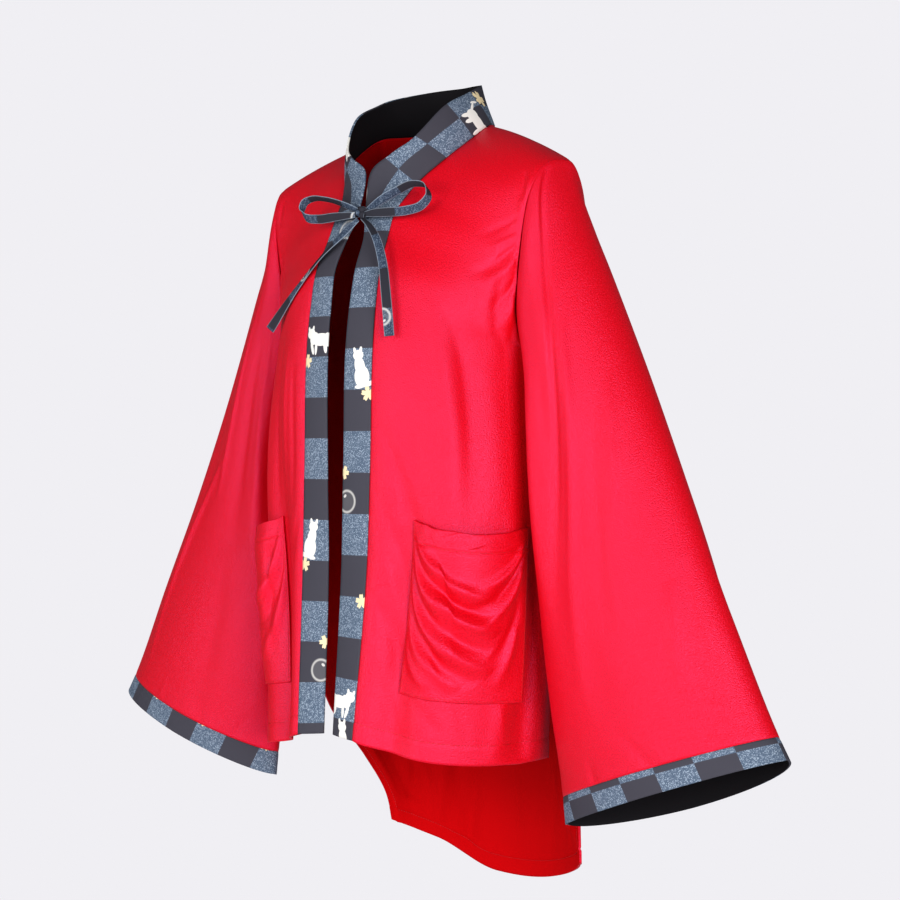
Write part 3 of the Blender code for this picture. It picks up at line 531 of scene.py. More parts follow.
def crease_heights(table, side, down):
    """Height of all creases. side and down are metres on the flat cloth.

    Columns: side, down, to side, to down, bend (share of its length), width at the start and
    at the end, height, where it is highest (share), and skew, which makes the flank on the
    right of its direction wider. Lengths in the table are millimetres.
    """
    total = np.zeros(side.shape)
    for x0, y0, x1, y1, bend, wide0, wide1, height, peak, skew in table:
        x0, y0, x1, y1 = np.array([x0, y0, x1, y1]) / 1000
        run = np.array([x1 - x0, y1 - y0])
        length = np.linalg.norm(run)
        run = run / length
        t = ((side - x0) * run[0] + (down - y0) * run[1]) / length
        inside = np.clip(t, 0, 1)
        off = (side - x0) * run[1] - (down - y0) * run[0]
        off = off - bend * length * 4 * inside * (1 - inside)
        width = (wide0 + (wide1 - wide0) * inside) / 1000
        width = width * (1 + skew * np.tanh(off / width))
        p = np.clip(peak, *PEAK_RANGE)
        top = p**p * (1 - p) ** (1 - p)
        taper = (inside**p * (1 - inside) ** (1 - p) / top) ** CREASE_TAPER
        total += height / 1000 * taper * np.exp(-((off / width) ** 2))
    return total


def grid_normals(points, wrap=False, flip=False):
    down = np.gradient(points, axis=0)
    if wrap:
        across = np.roll(points, -1, 1) - np.roll(points, 1, 1)
    else:
        across = np.gradient(points, axis=1)
    normals = unit(np.cross(down, across))
    return -normals if flip else normals


def flat_side(points):
    """Metres from the first column along each row, as on the flat cloth."""
    steps = np.linalg.norm(np.diff(points, axis=1), axis=2)
    return np.concatenate([np.zeros((len(points), 1)), np.cumsum(steps, axis=1)], axis=1)


print("fold tables:", len(FRONT_FOLDS), len(BACK_FOLDS), len(SLEEVE_FOLDS))

# %% [markdown]
# ## From grid to cloth
#
# Every panel starts as a flat grid, as cloth comes off the roll. Its UV map keeps metres on the
# flat cloth, so that weave and print have their real scale. Then the grid's vertices move to the
# worn place, and a Solidify modifier gives the wall its thickness, inwards.

# %% Panel helper
DOUBLED = 1.6
# how proud a hem stands, and how deep and wide its stitch line pulls in
HEM_LIFT = 0.0005
HEM_SINK = 0.0009
HEM_SINK_WIDTH = 0.0015
# how far the doubled cloth goes past the stitch line, and over what width it ends
HEM_PAST = 0.001
HEM_STEP = 0.002
# how deep a seam pulls the cloth in, and how far from the seam
PANEL_SEAM = (0.0006, 0.004)
ARMHOLE_SEAM = (0.0009, 0.004)
SLEEVE_HEAD = (0.0010, 0.004)
CUFF_SEAM = (0.0004, 0.003)


def flat_map(across, down):
    """Each grid point's place on the flat cloth, in metres."""
    return np.stack(np.broadcast_arrays(across, down), axis=-1)


def grid_shape(points, maps):
    """A flat grid with its UV maps, moved to these points, and each vertex's row and column."""
    rows, columns = points.shape[:2]
    shape = bmesh.new()
    bmesh.ops.create_grid(shape, x_segments=columns - 1, y_segments=rows - 1, size=1.0)
    shape.verts.ensure_lookup_table()
    flat = np.array([vertex.co[:2] for vertex in shape.verts])
    column = np.rint((flat[:, 0] + 1) / 2 * (columns - 1)).astype(int)
    row = np.rint((1 - flat[:, 1]) / 2 * (rows - 1)).astype(int)
    for label, places in maps.items():
        layer = shape.loops.layers.uv.new(label)
        where = places[row, column]
        for face in shape.faces:
            for loop in face.loops:
                loop[layer].uv = where[loop.vert.index]
    for vertex, spot in zip(shape.verts, points[row, column]):
        vertex.co = spot
    return shape, row, column


def finish_piece(obj, node):
    """The shell stands for its solid, which is hidden, and moves with the root body."""
    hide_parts(node)
    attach(obj, "root")


def cloth_panel(node, look, points, uv, outwards, tube=False, double=None):
    """A cloth shell through a grid of outer points, in place of a solid.

    look is its slot, its right side, its wrong side and its thickness. double is 1 where the
    cloth lies double, as in a hem, and 0 elsewhere.
    """
    slot, right_side, wrong_side, thickness = look
    shape, row, column = grid_shape(points, {"cloth": uv})
    if double is not None:
        weights = shape.verts.layers.deform.new()
        for vertex, share in zip(shape.verts, double[row, column]):
            vertex[weights][0] = float(share)
    if outwards < 0:
        bmesh.ops.reverse_faces(shape, faces=shape.faces)
    if tube:
        bmesh.ops.remove_doubles(shape, verts=shape.verts, dist=1e-5)
    obj = object_from(slot.replace("cloth", node), shape, right_side)
    obj.data.materials.append(wrong_side)
    wall = obj.modifiers.new("wall", "SOLIDIFY")
    wall.thickness = thickness
    wall.offset = -1.0
    wall.use_rim = True
    wall.material_offset = 1
    if double is not None:
        obj.vertex_groups.new(name="double")
        wall.vertex_group = "double"
        wall.thickness = thickness * DOUBLED
        wall.thickness_vertex_group = 1 / DOUBLED
    finish_piece(obj, node)


def seam_dip(distance, seam):
    """How far a seam pulls the cloth in, at this distance from it."""
    depth, reach = seam
    return -depth * np.exp(-((distance / reach) ** 2))


def doubled(distance, width):
    """1 where a hem of this width lies double, and 0 past it."""
    return smooth_step((width + HEM_PAST - distance) / HEM_STEP)


def hem_rise(distance, width):
    """A hem stands a little proud up to its stitch line, which pulls in."""
    sink = HEM_SINK * np.exp(-(((distance - width) / HEM_SINK_WIDTH) ** 2))
    return HEM_LIFT * doubled(distance, width) - sink


print("panel helpers ready")

# %% [markdown]
# ## Materials
#
# The red is a smooth, close cloth with a satin face: it shines softly where it bends, and a weave
# shows only from very near. The print is dyed on a dull cloth, so it has no shine. Both read the
# UV map in metres, because a pattern that reads object coordinates would cut through the folds.

# %% Node group helpers


class Nodes:
    """Adds nodes to one shader tree. A value is a number, a colour, a vector or an output."""

    def __init__(self, tree):
        self.tree = tree

    def feed(self, socket, value):
        """Link an output to a socket, or set the socket to a plain value."""
        if isinstance(value, bpy.types.NodeSocket):
            self.tree.links.new(value, socket)
        elif value is not None:
            socket.default_value = value

    def add(self, kind, **values):
        """A node whose inputs are set by their labels."""
        node = self.tree.nodes.new("ShaderNode" + kind)
        for label, value in values.items():
            self.feed(node.inputs[label], value)
        return node

    def math(self, operation, *values, clamp=False, kind="Math", output=0):
        node = self.add(kind)
        node.operation = operation
        if clamp:
            node.use_clamp = True
        for socket, value in zip(node.inputs, values):
            self.feed(socket, value)
        return node.outputs[output]

    def times(self, a, b):
        return self.math("MULTIPLY", a, b)

    def line(self, value, slope, start):
        """A straight line: the value times a slope, and a start."""
        return self.math("MULTIPLY_ADD", value, slope, start)

    def length(self, vector):
        return self.math("LENGTH", vector, kind="VectorMath", output="Value")

    def scale(self, vector, factor):
        result = self.math("SCALE", vector, kind="VectorMath")
        self.feed(result.node.inputs["Scale"], factor)
        return result

    def split(self, vector):
        return self.add("SeparateXYZ", Vector=vector).outputs

    def mix(self, share, a, b):
        node = self.add("Mix")
        node.data_type = "RGBA"
        for label, value in (("Factor", share), ("A", a), ("B", b)):
            self.feed(node.inputs[label], value)
        return node.outputs["Result"]

    def noise(self, place, scale, detail=2.0, roughness=0.6):
        node = self.add("TexNoise", Vector=place, Scale=scale, Detail=detail, Roughness=roughness)
        return node.outputs["Fac"]

    def uv(self, label):
        node = self.add("UVMap")
        node.uv_map = label
        return node.outputs["UV"]

    def group(self, group, **values):
        """A copy of a node group, and its only output."""
        node = self.add("Group")
        node.node_tree = group
        for label, value in values.items():
            if value is not None:
                self.feed(node.inputs[label], value)
        return node.outputs[0]

    def bump(self, shader, height, distance, strength):
        node = self.add("Bump", Strength=strength, Distance=distance, Height=height)
        self.feed(shader["Normal"], node.outputs["Normal"])


def new_group(name, label, kind, **inputs):
    """An empty node group with one output: its nodes, what it is given and that output."""
    tree = bpy.data.node_groups.new(name, "ShaderNodeTree")
    for given, (given_kind, value) in inputs.items():
        socket = tree.interface.new_socket(given, in_out="INPUT", socket_type="NodeSocket" + given_kind)
        if value is not None:
            socket.default_value = value
    tree.interface.new_socket(label, in_out="OUTPUT", socket_type="NodeSocket" + kind)
    entry = tree.nodes.new("NodeGroupInput")
    leave = tree.nodes.new("NodeGroupOutput")
    return Nodes(tree), entry.outputs, leave.inputs[0]


def cloth_material(name, specular, roughness=0.5):
    """A material, its nodes, its shader's inputs and the place on the flat cloth in metres."""
    material = plain_material(name, (0.8, 0.8, 0.8, 1), roughness)
    nodes = Nodes(material.node_tree)
    shader = material.node_tree.nodes["Principled BSDF"].inputs
    nodes.feed(shader["Specular IOR Level"], specular)
    return material, nodes, shader, nodes.uv("cloth")


print("node helpers ready")

# %% Weave group: fine ribs one way and floats the other
RED_THREADS = 2600.0
PRINT_THREADS = 1800.0
FACING_THREADS = 1500.0

nodes, given, weave_height = new_group(
    "close_weave", "Height", "Float", Place=("Vector", None), Threads=("Float", RED_THREADS)
)
x, y = nodes.split(nodes.scale(given["Place"], given["Threads"]))[:2]
ribs = nodes.math("SINE", nodes.times(x, math.tau))
floats = nodes.math("SINE", nodes.times(y, math.tau / 2))
nodes.feed(weave_height, nodes.math("ADD", ribs, nodes.times(floats, 0.5)))
weave_group = nodes.tree
print("weave group:", len(weave_group.nodes), "nodes")

# %% Red satin-faced cloth
RED = (0.72, 0.0030, 0.0120, 1.0)
RED_DEEP = (0.54, 0.0002, 0.003, 1.0)
RED_DULL = (0.56, 0.0004, 0.003, 1.0)
RED_DULL_DEEP = (0.40, 0.0002, 0.002, 1.0)
SATIN_TINT = (1.0, 0.38, 0.95, 1.0)
SHEEN_TINT = (1.0, 0.3, 0.45, 1.0)
# how many a metre
GRAIN = 620.0
DULL_GRAIN = 700.0
RIPPLES = 26.0
# the slope and the start of a line through the grain's value
GRAIN_TO_RED = (3.6, -1.3)
GRAIN_TO_ROUGHNESS = (0.5, 0.17)
# heights in metres
WEAVE_HIGH = 0.00001
GRAIN_HIGH = 0.0012
RIPPLE_HIGH = 0.0009
DULL_HIGH = 0.0002


def red_cloth():
    material, nodes, shader, place = cloth_material("red_cloth", 0.68)
    grain = nodes.noise(place, GRAIN)
    nodes.feed(shader["Base Color"], nodes.mix(nodes.line(grain, *GRAIN_TO_RED), RED_DEEP, RED))
    nodes.feed(shader["Roughness"], nodes.line(grain, *GRAIN_TO_ROUGHNESS))
    nodes.feed(shader["Specular Tint"], SATIN_TINT)
    nodes.feed(shader["Sheen Weight"], 0.02)
    nodes.feed(shader["Sheen Roughness"], 0.4)
    nodes.feed(shader["Sheen Tint"], SHEEN_TINT)
    weave = nodes.group(weave_group, Place=place)
    ripple = nodes.noise(place, RIPPLES, roughness=0.5)
    fine = nodes.line(weave, WEAVE_HIGH, nodes.times(grain, GRAIN_HIGH))
    nodes.bump(shader, nodes.math("ADD", fine, nodes.times(ripple, RIPPLE_HIGH)), 1.0, 0.6)
    return material


def red_wrong_side():
    """The dull side of the satin: the same red, with hardly any shine."""
    material, nodes, shader, place = cloth_material("red_cloth_wrong_side", 0.08, 0.85)
    grain = nodes.noise(place, DULL_GRAIN)
    nodes.feed(shader["Base Color"], nodes.mix(grain, RED_DULL_DEEP, RED_DULL))
    nodes.bump(shader, grain, DULL_HIGH, 0.5)
    return material


# slot, right side, wrong side, thickness
RED_CLOTH = ("red_cloth", red_cloth(), red_wrong_side(), CLOTH)
print("materials:", [m.name for m in RED_CLOTH[1:3]])

# %% [markdown]
# ## The printed cloth
#
# The band's cloth has the old checkerboard of dark and slate squares, with cats, blossoms and
# soap bubbles scattered over it. A real print repeats, so each motif is drawn once and the map
# wraps round it after a few squares. The motifs are made here from ovals and rings, in a layout
# of their own. The slate squares are navy, sown with small dots of many greys. The wrong side of
# the band and the cuffs is near black and shows no print: partly a dark facing cloth, and partly
# painted shade, because these insides lie in shade.

# %% Motif helpers
SQUARE = 0.0431


def placed(nodes, place, x, y, width, height, turn):
    """Coordinates with their origin, size and turn moved to one motif."""
    turn = (0, 0, math.radians(turn))
    node = nodes.add("Mapping", Vector=place, Location=(x, y, 0), Rotation=turn, Scale=(width, height, 1))
    node.vector_type = "TEXTURE"
    return node.outputs["Vector"]


def oval(nodes, place, *row):
    """A mask that is 1 inside an oval."""
    return nodes.math("LESS_THAN", nodes.length(placed(nodes, place, *row)), 1.0)


# x, y, half width, half height, turn in degrees, all in squares
SITTING_CAT = (
    (0, -0.24, 0.21, 0.27, 0),
    (0.03, 0.02, 0.145, 0.24, -10),
    (0.05, 0.29, 0.15, 0.125, 6),
    (-0.035, 0.405, 0.042, 0.085, 14),
    (0.14, 0.415, 0.042, 0.085, -12),
    (0.1, -0.3, 0.06, 0.22, 4),
    (0.1, -0.47, 0.13, 0.05, 0),
    (-0.2, -0.44, 0.16, 0.055, -12),
    (-0.36, -0.36, 0.055, 0.13, 24),
)
WALKING_CAT = (
    (0.02, 0.02, 0.32, 0.155, -4),
    (0.24, 0, 0.165, 0.17, 0),
    (-0.23, 0.07, 0.17, 0.15, 30),
    (-0.35, 0.2, 0.15, 0.125, 0),
    (-0.445, 0.31, 0.042, 0.075, 16),
    (-0.275, 0.315, 0.042, 0.075, -14),
    (-0.3, -0.16, 0.05, 0.17, 16),
    (-0.16, -0.18, 0.048, 0.16, -6),
    (0.16, -0.18, 0.055, 0.15, 8),
    (0.32, -0.17, 0.055, 0.16, 14),
    (0.41, 0.15, 0.038, 0.17, -34),
    (0.52, 0.34, 0.036, 0.13, 6),
)


def motif_group(name, ovals):
    """A node group whose mask is 1 inside any of these ovals."""
    nodes, given, mask = new_group(name, "Mask", "Float", Place=("Vector", None))
    masks = [oval(nodes, given["Place"], *row) for row in ovals]
    total = masks[0]
    for other in masks[1:]:
        total = nodes.math("MAXIMUM", total, other)
    nodes.feed(mask, total)
    return nodes.tree


sitting_cat = motif_group("sitting_cat", SITTING_CAT)
walking_cat = motif_group("walking_cat", WALKING_CAT)

# %% Blossom and bubble groups
# sizes in squares
PETALS = 5
PETAL_REACH = (0.15, 0.09)
NOTCH_SHARPNESS = 14.0
NOTCH_DEEP = -0.05
BUBBLE_RIM = 0.045
RIM_PALE = 0.6
HAZE_PALE = 0.06
GLINT_PALE = 0.7
GLINT = (0.25, 0.5, 0.20, 0.13, -35)

nodes, given, mask = new_group("blossom", "Mask", "Float", Place=("Vector", None))
x, y = nodes.split(given["Place"])[:2]
half_turns = nodes.times(nodes.math("ARCTAN2", y, x), PETALS / 2)
petal = nodes.math("ABSOLUTE", nodes.math("COSINE", half_turns))
notch = nodes.math("POWER", petal, NOTCH_SHARPNESS)
edge = nodes.line(notch, NOTCH_DEEP, nodes.line(petal, *PETAL_REACH))
nodes.feed(mask, nodes.math("LESS_THAN", nodes.length(given["Place"]), edge))
blossom_group = nodes.tree

nodes, given, mask = new_group("bubble", "Mask", "Float", Place=("Vector", None), Radius=("Float", 0.2))
far = nodes.length(given["Place"])
away = nodes.math("ABSOLUTE", nodes.math("SUBTRACT", far, given["Radius"]))
rim = nodes.math("SUBTRACT", 1.0, nodes.math("DIVIDE", away, BUBBLE_RIM))
rim = nodes.math("MAXIMUM", rim, 0.0)
scaled = nodes.scale(given["Place"], nodes.math("DIVIDE", 1.0, given["Radius"]))
glint = nodes.times(oval(nodes, scaled, *GLINT), GLINT_PALE)
inside = nodes.math("LESS_THAN", far, given["Radius"])
rim = nodes.line(rim, RIM_PALE, nodes.times(inside, HAZE_PALE))
nodes.feed(mask, nodes.math("MAXIMUM", rim, glint))
bubble_group = nodes.tree
print("motifs: sitting cat, walking cat, blossom, bubble")

# %% The printed cloth as a group
PALE = (0.80, 0.78, 0.74, 1.0)
CREAM = (0.80, 0.66, 0.42, 1.0)
# group, colour, how often it repeats across and along, x, y, size, turn in degrees, radius of
# a bubble: all but the turn in squares, and in the order in which they are printed
MOTIFS = (
    (bubble_group, PALE, 2, 11, 0.74, 4.3, 1, 0, 0.26),
    (bubble_group, PALE, 4, 7, 1.6, 5.2, 1, 0, 0.2),
    (blossom_group, CREAM, 2, 5, 0.15, 0.9, 0.85, 10, None),
    (blossom_group, CREAM, 2, 11, 0.85, 5, 0.8, 40, None),
    (blossom_group, CREAM, 4, 6, 1.2, 2.2, 1.15, 25, None),
    (walking_cat, PALE, 2, 13, 0.62, 1.4, 1.02, 4, None),
    (sitting_cat, PALE, 2, 9, 0.36, 5.55, 1, -8, None),
    (sitting_cat, PALE, 4, 17, 1.3, 8.4, 0.95, 10, None),
)
# per square
DOTS = 40.0
CLOUDS = 6.0
# the slope and the start of a line: a dot's edge from its middle, and the share of the clouds
DOT_EDGE = (-2.6, 1.75)
CLOUD_SHARE = (0.9, 0.35)
FEW_PALE_DOTS = 1.3

nodes, given, print_colour = new_group(
    "checked_print",
    "Colour",
    "Color",
    Place=("Vector", None),
    Dark=("Color", None),
    Slate=("Color", None),
    Speck=("Color", None),
)
place = given["Place"]
x, y = nodes.split(nodes.math("FLOOR", place, kind="VectorMath"))[:2]
dark_square = nodes.math("FLOORED_MODULO", nodes.math("ADD", x, y), 2.0)
dots = nodes.add("TexVoronoi", Scale=DOTS, Vector=place).outputs
round_dots = nodes.math("MULTIPLY_ADD", dots["Distance"], *DOT_EDGE, clamp=True)
any_grey = nodes.math("POWER", nodes.split(dots["Color"])[0], FEW_PALE_DOTS)
clouds = nodes.line(nodes.noise(place, CLOUDS, 3.0), *CLOUD_SHARE)
specks = nodes.math("MULTIPLY", nodes.times(round_dots, any_grey), clouds, clamp=True)
colour = nodes.mix(dark_square, nodes.mix(specks, given["Slate"], given["Speck"]), given["Dark"])
for group, ink, wide, long, x, y, size, turn, radius in MOTIFS:
    again = nodes.math("WRAP", place, (wide, long, 1), (0, 0, -1), kind="VectorMath")
    where = placed(nodes, again, x, y, size, size, turn)
    colour = nodes.mix(nodes.group(group, Place=where, Radius=radius), colour, ink)
nodes.feed(print_colour, colour)
print_group = nodes.tree
print("print group:", len(print_group.nodes), "nodes")

# %% Checked cloth material
DARK = (0.060, 0.058, 0.074, 1.0)
SLATE = (0.085, 0.118, 0.172, 1.0)
SPECK = (0.48, 0.56, 0.66, 1.0)
# painted shade: the tie's print is the band's print in darker colours, for the shade on the bow
TIE_DARK_SHADED = (0.030, 0.030, 0.040, 1.0)
TIE_SLATE_SHADED = (0.034, 0.050, 0.084, 1.0)
TIE_SPECK_SHADED = (0.22, 0.28, 0.36, 1.0)
# near black: partly a dark facing, partly painted shade on the shaded insides of band and cuffs
FACING_AND_SHADE = (0.010, 0.009, 0.011, 1.0)
# the undyed fold along both edges of the tie
PALE_EDGE = (0.36, 0.42, 0.50, 1.0)
PALE_EDGE_WIDTH = 0.00075
PALE_EDGE_SHARE = 0.45
PLAIN_WEAVE_HIGH = 0.00006


def checked_cloth(name, dark, slate, speck, pale_edge):
    material, nodes, shader, place = cloth_material(name, 0.2, 0.75)
    squares = nodes.scale(place, 1 / SQUARE)
    colour = nodes.group(print_group, Place=squares, Dark=dark, Slate=slate, Speck=speck)
    if pale_edge:
        near = nodes.math("LESS_THAN", nodes.split(nodes.uv("edge"))[0], PALE_EDGE_WIDTH)
        colour = nodes.mix(nodes.times(near, PALE_EDGE_SHARE), colour, PALE_EDGE)
    nodes.feed(shader["Base Color"], colour)
    weave = nodes.group(weave_group, Threads=PRINT_THREADS, Place=place)
    nodes.bump(shader, weave, PLAIN_WEAVE_HIGH, 0.5)
    return material


def facing_and_shade_cloth():
    """The near-black wrong side of the neck band and the cuffs: partly a dark facing, partly painted shade on
    these shaded insides.
    """
    material, nodes, shader, place = cloth_material("black_facing_and_shade", 0.15, 0.85)
    nodes.feed(shader["Base Color"], FACING_AND_SHADE)
    weave = nodes.group(weave_group, Threads=FACING_THREADS, Place=place)
    nodes.bump(shader, weave, PLAIN_WEAVE_HIGH, 0.5)
    return material


CHECKED_CLOTH = (
    "checked_cloth",
    checked_cloth("checked_cloth", DARK, SLATE, SPECK, False),
    facing_and_shade_cloth(),
    BAND_CLOTH,
)
# the same print as the band, darkened as painted shade
TIE_CLOTH_SHADED = checked_cloth("tie_cloth", TIE_DARK_SHADED, TIE_SLATE_SHADED, TIE_SPECK_SHADED, True)
print("materials:", [m.name for m in CHECKED_CLOTH[1:3]], TIE_CLOTH_SHADED.name)

# %% [markdown]
# ## Fronts
#
# Each front hangs from the shoulder and the neck seam, bends round the chest and falls straight to
# a level hem. Its own small folds fan out from the armhole, and long soft ones run down to the
# pocket.

# %% Front creases
# side, down, to side, to down, bend, width at start and end, height, peak, skew
FRONT_CREASES = {
    "left": (
        (101, 58, 119, 92, 0, 3, 4, -1.3, 0.5, 0),
        (112, 60, 132, 130, 0, 4, 5, 1.3, 0.5, 0),
        (128, 110, 100, 160, 0.06, 3, 6, -1.2, 0.3, 0),
        (138, 132, 112, 170, 0.05, 3, 6, 1.2, 0.3, 0.2),
        (142, 146, 100, 206, 0.08, 3, 8, -2.2, 0.3, 0.2),
        (147, 162, 110, 212, 0.08, 4, 8, 2.4, 0.3, 0),
        (153, 178, 124, 240, 0.06, 3, 7, -2.6, 0.3, -0.2),
        (156, 205, 138, 262, 0.04, 4, 8, 1.8, 0.3, 0.2),
        (158, 235, 150, 300, 0.02, 4, 8, -1.4, 0.4, 0),
        (82, 250, 112, 500, 0.05, 8, 14, -2.4, 0.5, 0.2),
        (60, 245, 98, 500, 0.04, 10, 14, 2.3, 0.5, 0.2),
        (124, 280, 146, 500, 0.02, 12, 16, 1, 0.5, 0),
        (10, 385, 46, 492, 0.04, 6, 9, -1.8, 0.6, 0.2),
        (24, 395, 66, 500, 0.04, 6, 9, 1.2, 0.6, 0),
        (4, 450, 52, 592, 0.04, 5, 9, -1.8, 0.6, 0.2),
        (2, 500, 52, 625, 0.04, 5, 8, 1.3, 0.6, 0),
        (2, 555, 52, 660, 0.04, 5, 9, -1.8, 0.6, 0.2),
        (4, 600, 50, 690, 0.03, 5, 8, 1.1, 0.6, 0),
        (61, 662, 100, 700, 0.05, 4, 7, -1.1, 0.4, 0),
        (110, 664, 128, 705, 0.03, 4, 7, -0.9, 0.4, 0),
        (160, 664, 172, 705, 0, 4, 7, 0.9, 0.4, 0),
        (183, 400, 192, 719, 0.02, 11, 17, -6.5, 0.75, -0.3),
        (156, 440, 160, 719, 0.02, 9, 14, 2.4, 0.75, 0.2),
        (215, 420, 222, 719, 0.01, 7, 9, 2.2, 0.7, 0.2),
    ),
    "right": (
        (104, 60, 118, 100, 0, 3, 5, -1.2, 0.5, 0),
        (136, 140, 98, 196, 0.07, 3, 8, -2, 0.3, 0.2),
        (144, 160, 108, 218, 0.07, 4, 8, 2, 0.3, 0),
        (152, 185, 122, 250, 0.05, 3, 7, -2.2, 0.3, -0.2),
        (74, 260, 88, 490, 0.03, 8, 12, 2.6, 0.5, 0),
        (54, 285, 62, 490, 0.02, 5, 7, -2.2, 0.5, 0.2),
        (34, 300, 40, 480, 0.02, 4, 6, 1.4, 0.5, 0),
        (22, 320, 18, 500, 0, 4, 6, -1.6, 0.5, 0),
        (110, 270, 128, 500, 0.02, 9, 12, -2.4, 0.5, 0),
        (6, 480, 34, 640, 0.03, 5, 8, -1.6, 0.5, 0.2),
        (20, 520, 48, 660, 0.03, 5, 8, 1.2, 0.5, 0),
        (140, 664, 150, 710, 0, 4, 7, -1, 0.4, 0),
        (198, 400, 205, 640, -0.02, 8, 10, 2.2, 0.5, 0.2),
    ),
}
FRONT_GRID = (110, 300)
FRONT_SOFT_EDGE = 0.03
# how far up and down the armhole's corner is evened out, how wide that fades, and to the edge
SOFT_REACH = 0.035
SOFT_WIDE = 1.3
SOFT_EDGE = 0.08


def soften(points, across, down, at):
    """Even out the bend that runs inwards from where the armhole meets the side seam."""
    step = max(1, round(SOFT_REACH / (down[1, 0] - down[0, 0])))
    padded = np.pad(points, ((step, step), (0, 0), (0, 0)), mode="reflect", reflect_type="odd")
    total = np.cumsum(np.concatenate([np.zeros_like(padded[:1]), padded]), axis=0)
    even = (total[2 * step + 1 :] - total[: -2 * step - 1]) / (2 * step + 1)
    share = np.exp(-(((down - at) / (SOFT_WIDE * SOFT_REACH)) ** 4))
    share = share * smooth_step((1 - across) / SOFT_EDGE)
    return points + share[..., None] * (even - points)


def front_points(across, down, side_name):
    """Outer points of a front with its folds, as the left one lies, and its places on the cloth."""
    points = front_surface(across, down[:, :1])
    points = soften(points, across, down, FRONT_ARM_DOWN)
    side = flat_side(points)
    edge = smooth_step(across / BAND_FADE) * smooth_step((1 - across) / EDGE_FADE)
    heights = fold_heights(FRONT_FOLDS, across, down, False) * edge
    creases = crease_heights(FRONT_CREASES[side_name], side, down)
    heights += creases * between(across, 1, FRONT_SOFT_EDGE)
    return points + grid_normals(points) * heights[..., None], side


def hem_and_seams(points, side, down):
    """The front's hem at the bottom, and the pull of its seams at the band and the armhole."""
    out = grid_normals(points)
    from_hem = FRONT_LENGTH - down
    heights = hem_rise(from_hem, HEM_WIDTH)
    heights += seam_dip(side, PANEL_SEAM)
    heights += seam_dip(side[:, -1:] - side, ARMHOLE_SEAM) * (down < SLIT_DOWN)
    heights += seam_dip(down, PANEL_SEAM)
    return points + out * heights[..., None]


columns, rows = FRONT_GRID
across, down = np.meshgrid(np.linspace(0, 1, columns + 1), np.linspace(0, FRONT_LENGTH, rows + 1))
front_outer = {}
for side_name, sign in SIDES:
    points, side = front_points(across, down, side_name)
    points = hem_and_seams(points, side, down) * (sign, 1, 1)
    double = doubled(FRONT_LENGTH - down, HEM_WIDTH)
    uv = flat_map(side, -down)
    cloth_panel(f"front_{side_name}", RED_CLOTH, points, uv, sign, double=double)
    front_outer[side_name] = points
print("fronts:", points.shape, "points each")

# %% [markdown]
# ## Back
#
# The back is one wide panel: it hangs from both shoulders, is curved over the shoulder blades and
# ends in a rounded tail between the two side slits. Its hem and the slits' edges are turned in and
# stitched, so the shell lies double there. Both halves share one form, but their creases don't
# match, and the right corner of the tail is caught up a little, as it hangs.

# %% Back
# side from the middle, down, to side, to down, bend, width at start and end, height, peak, skew
BACK_CREASES = (
    (120, 60, 80, 170, 0.1, 5, 12, 2, 0.3, 0.2),
    (150, 130, 90, 260, 0.12, 5, 12, 2.2, 0.3, 0.3),
    (165, 190, 120, 340, 0.1, 4, 10, -2, 0.3, -0.2),
    (50, 250, 60, 600, 0.03, 12, 18, 2, 0.5, 0.3),
    (120, 400, 140, 780, -0.02, 9, 14, 2.2, 0.6, -0.3),
    (190, 450, 185, 700, 0.02, 8, 12, 2, 0.5, 0.2),
    (-128, 70, -70, 190, -0.1, 5, 12, 2, 0.3, 0),
    (-156, 150, -100, 280, -0.12, 5, 12, 2.2, 0.3, 0.2),
    (-168, 210, -118, 330, -0.08, 4, 9, -2, 0.3, 0),
    (-30, 300, -20, 620, 0.02, 10, 16, -1.8, 0.5, 0.2),
    (-90, 350, -110, 720, 0.03, 10, 16, 2.4, 0.6, 0),
    (-170, 420, -180, 690, 0.02, 8, 12, -2, 0.5, 0.2),
    (10, 640, 20, 840, 0.02, 9, 14, -2, 0.6, 0.2),
    (-50, 690, -70, 862, 0.03, 6, 12, 5, 0.7, 0),
    (-86, 680, -104, 850, 0.02, 6, 10, -5, 0.7, 0.2),
    (-120, 700, -136, 830, 0.02, 6, 10, 4, 0.7, 0.2),
    (85, 700, 160, 810, -0.06, 5, 10, 4.5, 0.6, 0.2),
    (66, 720, 150, 840, -0.08, 5, 10, -5, 0.6, 0),
)
BACK_GRID = (150, 300)
SLIT_HEM = 0.010
BACK_SOFT_EDGE = 0.010


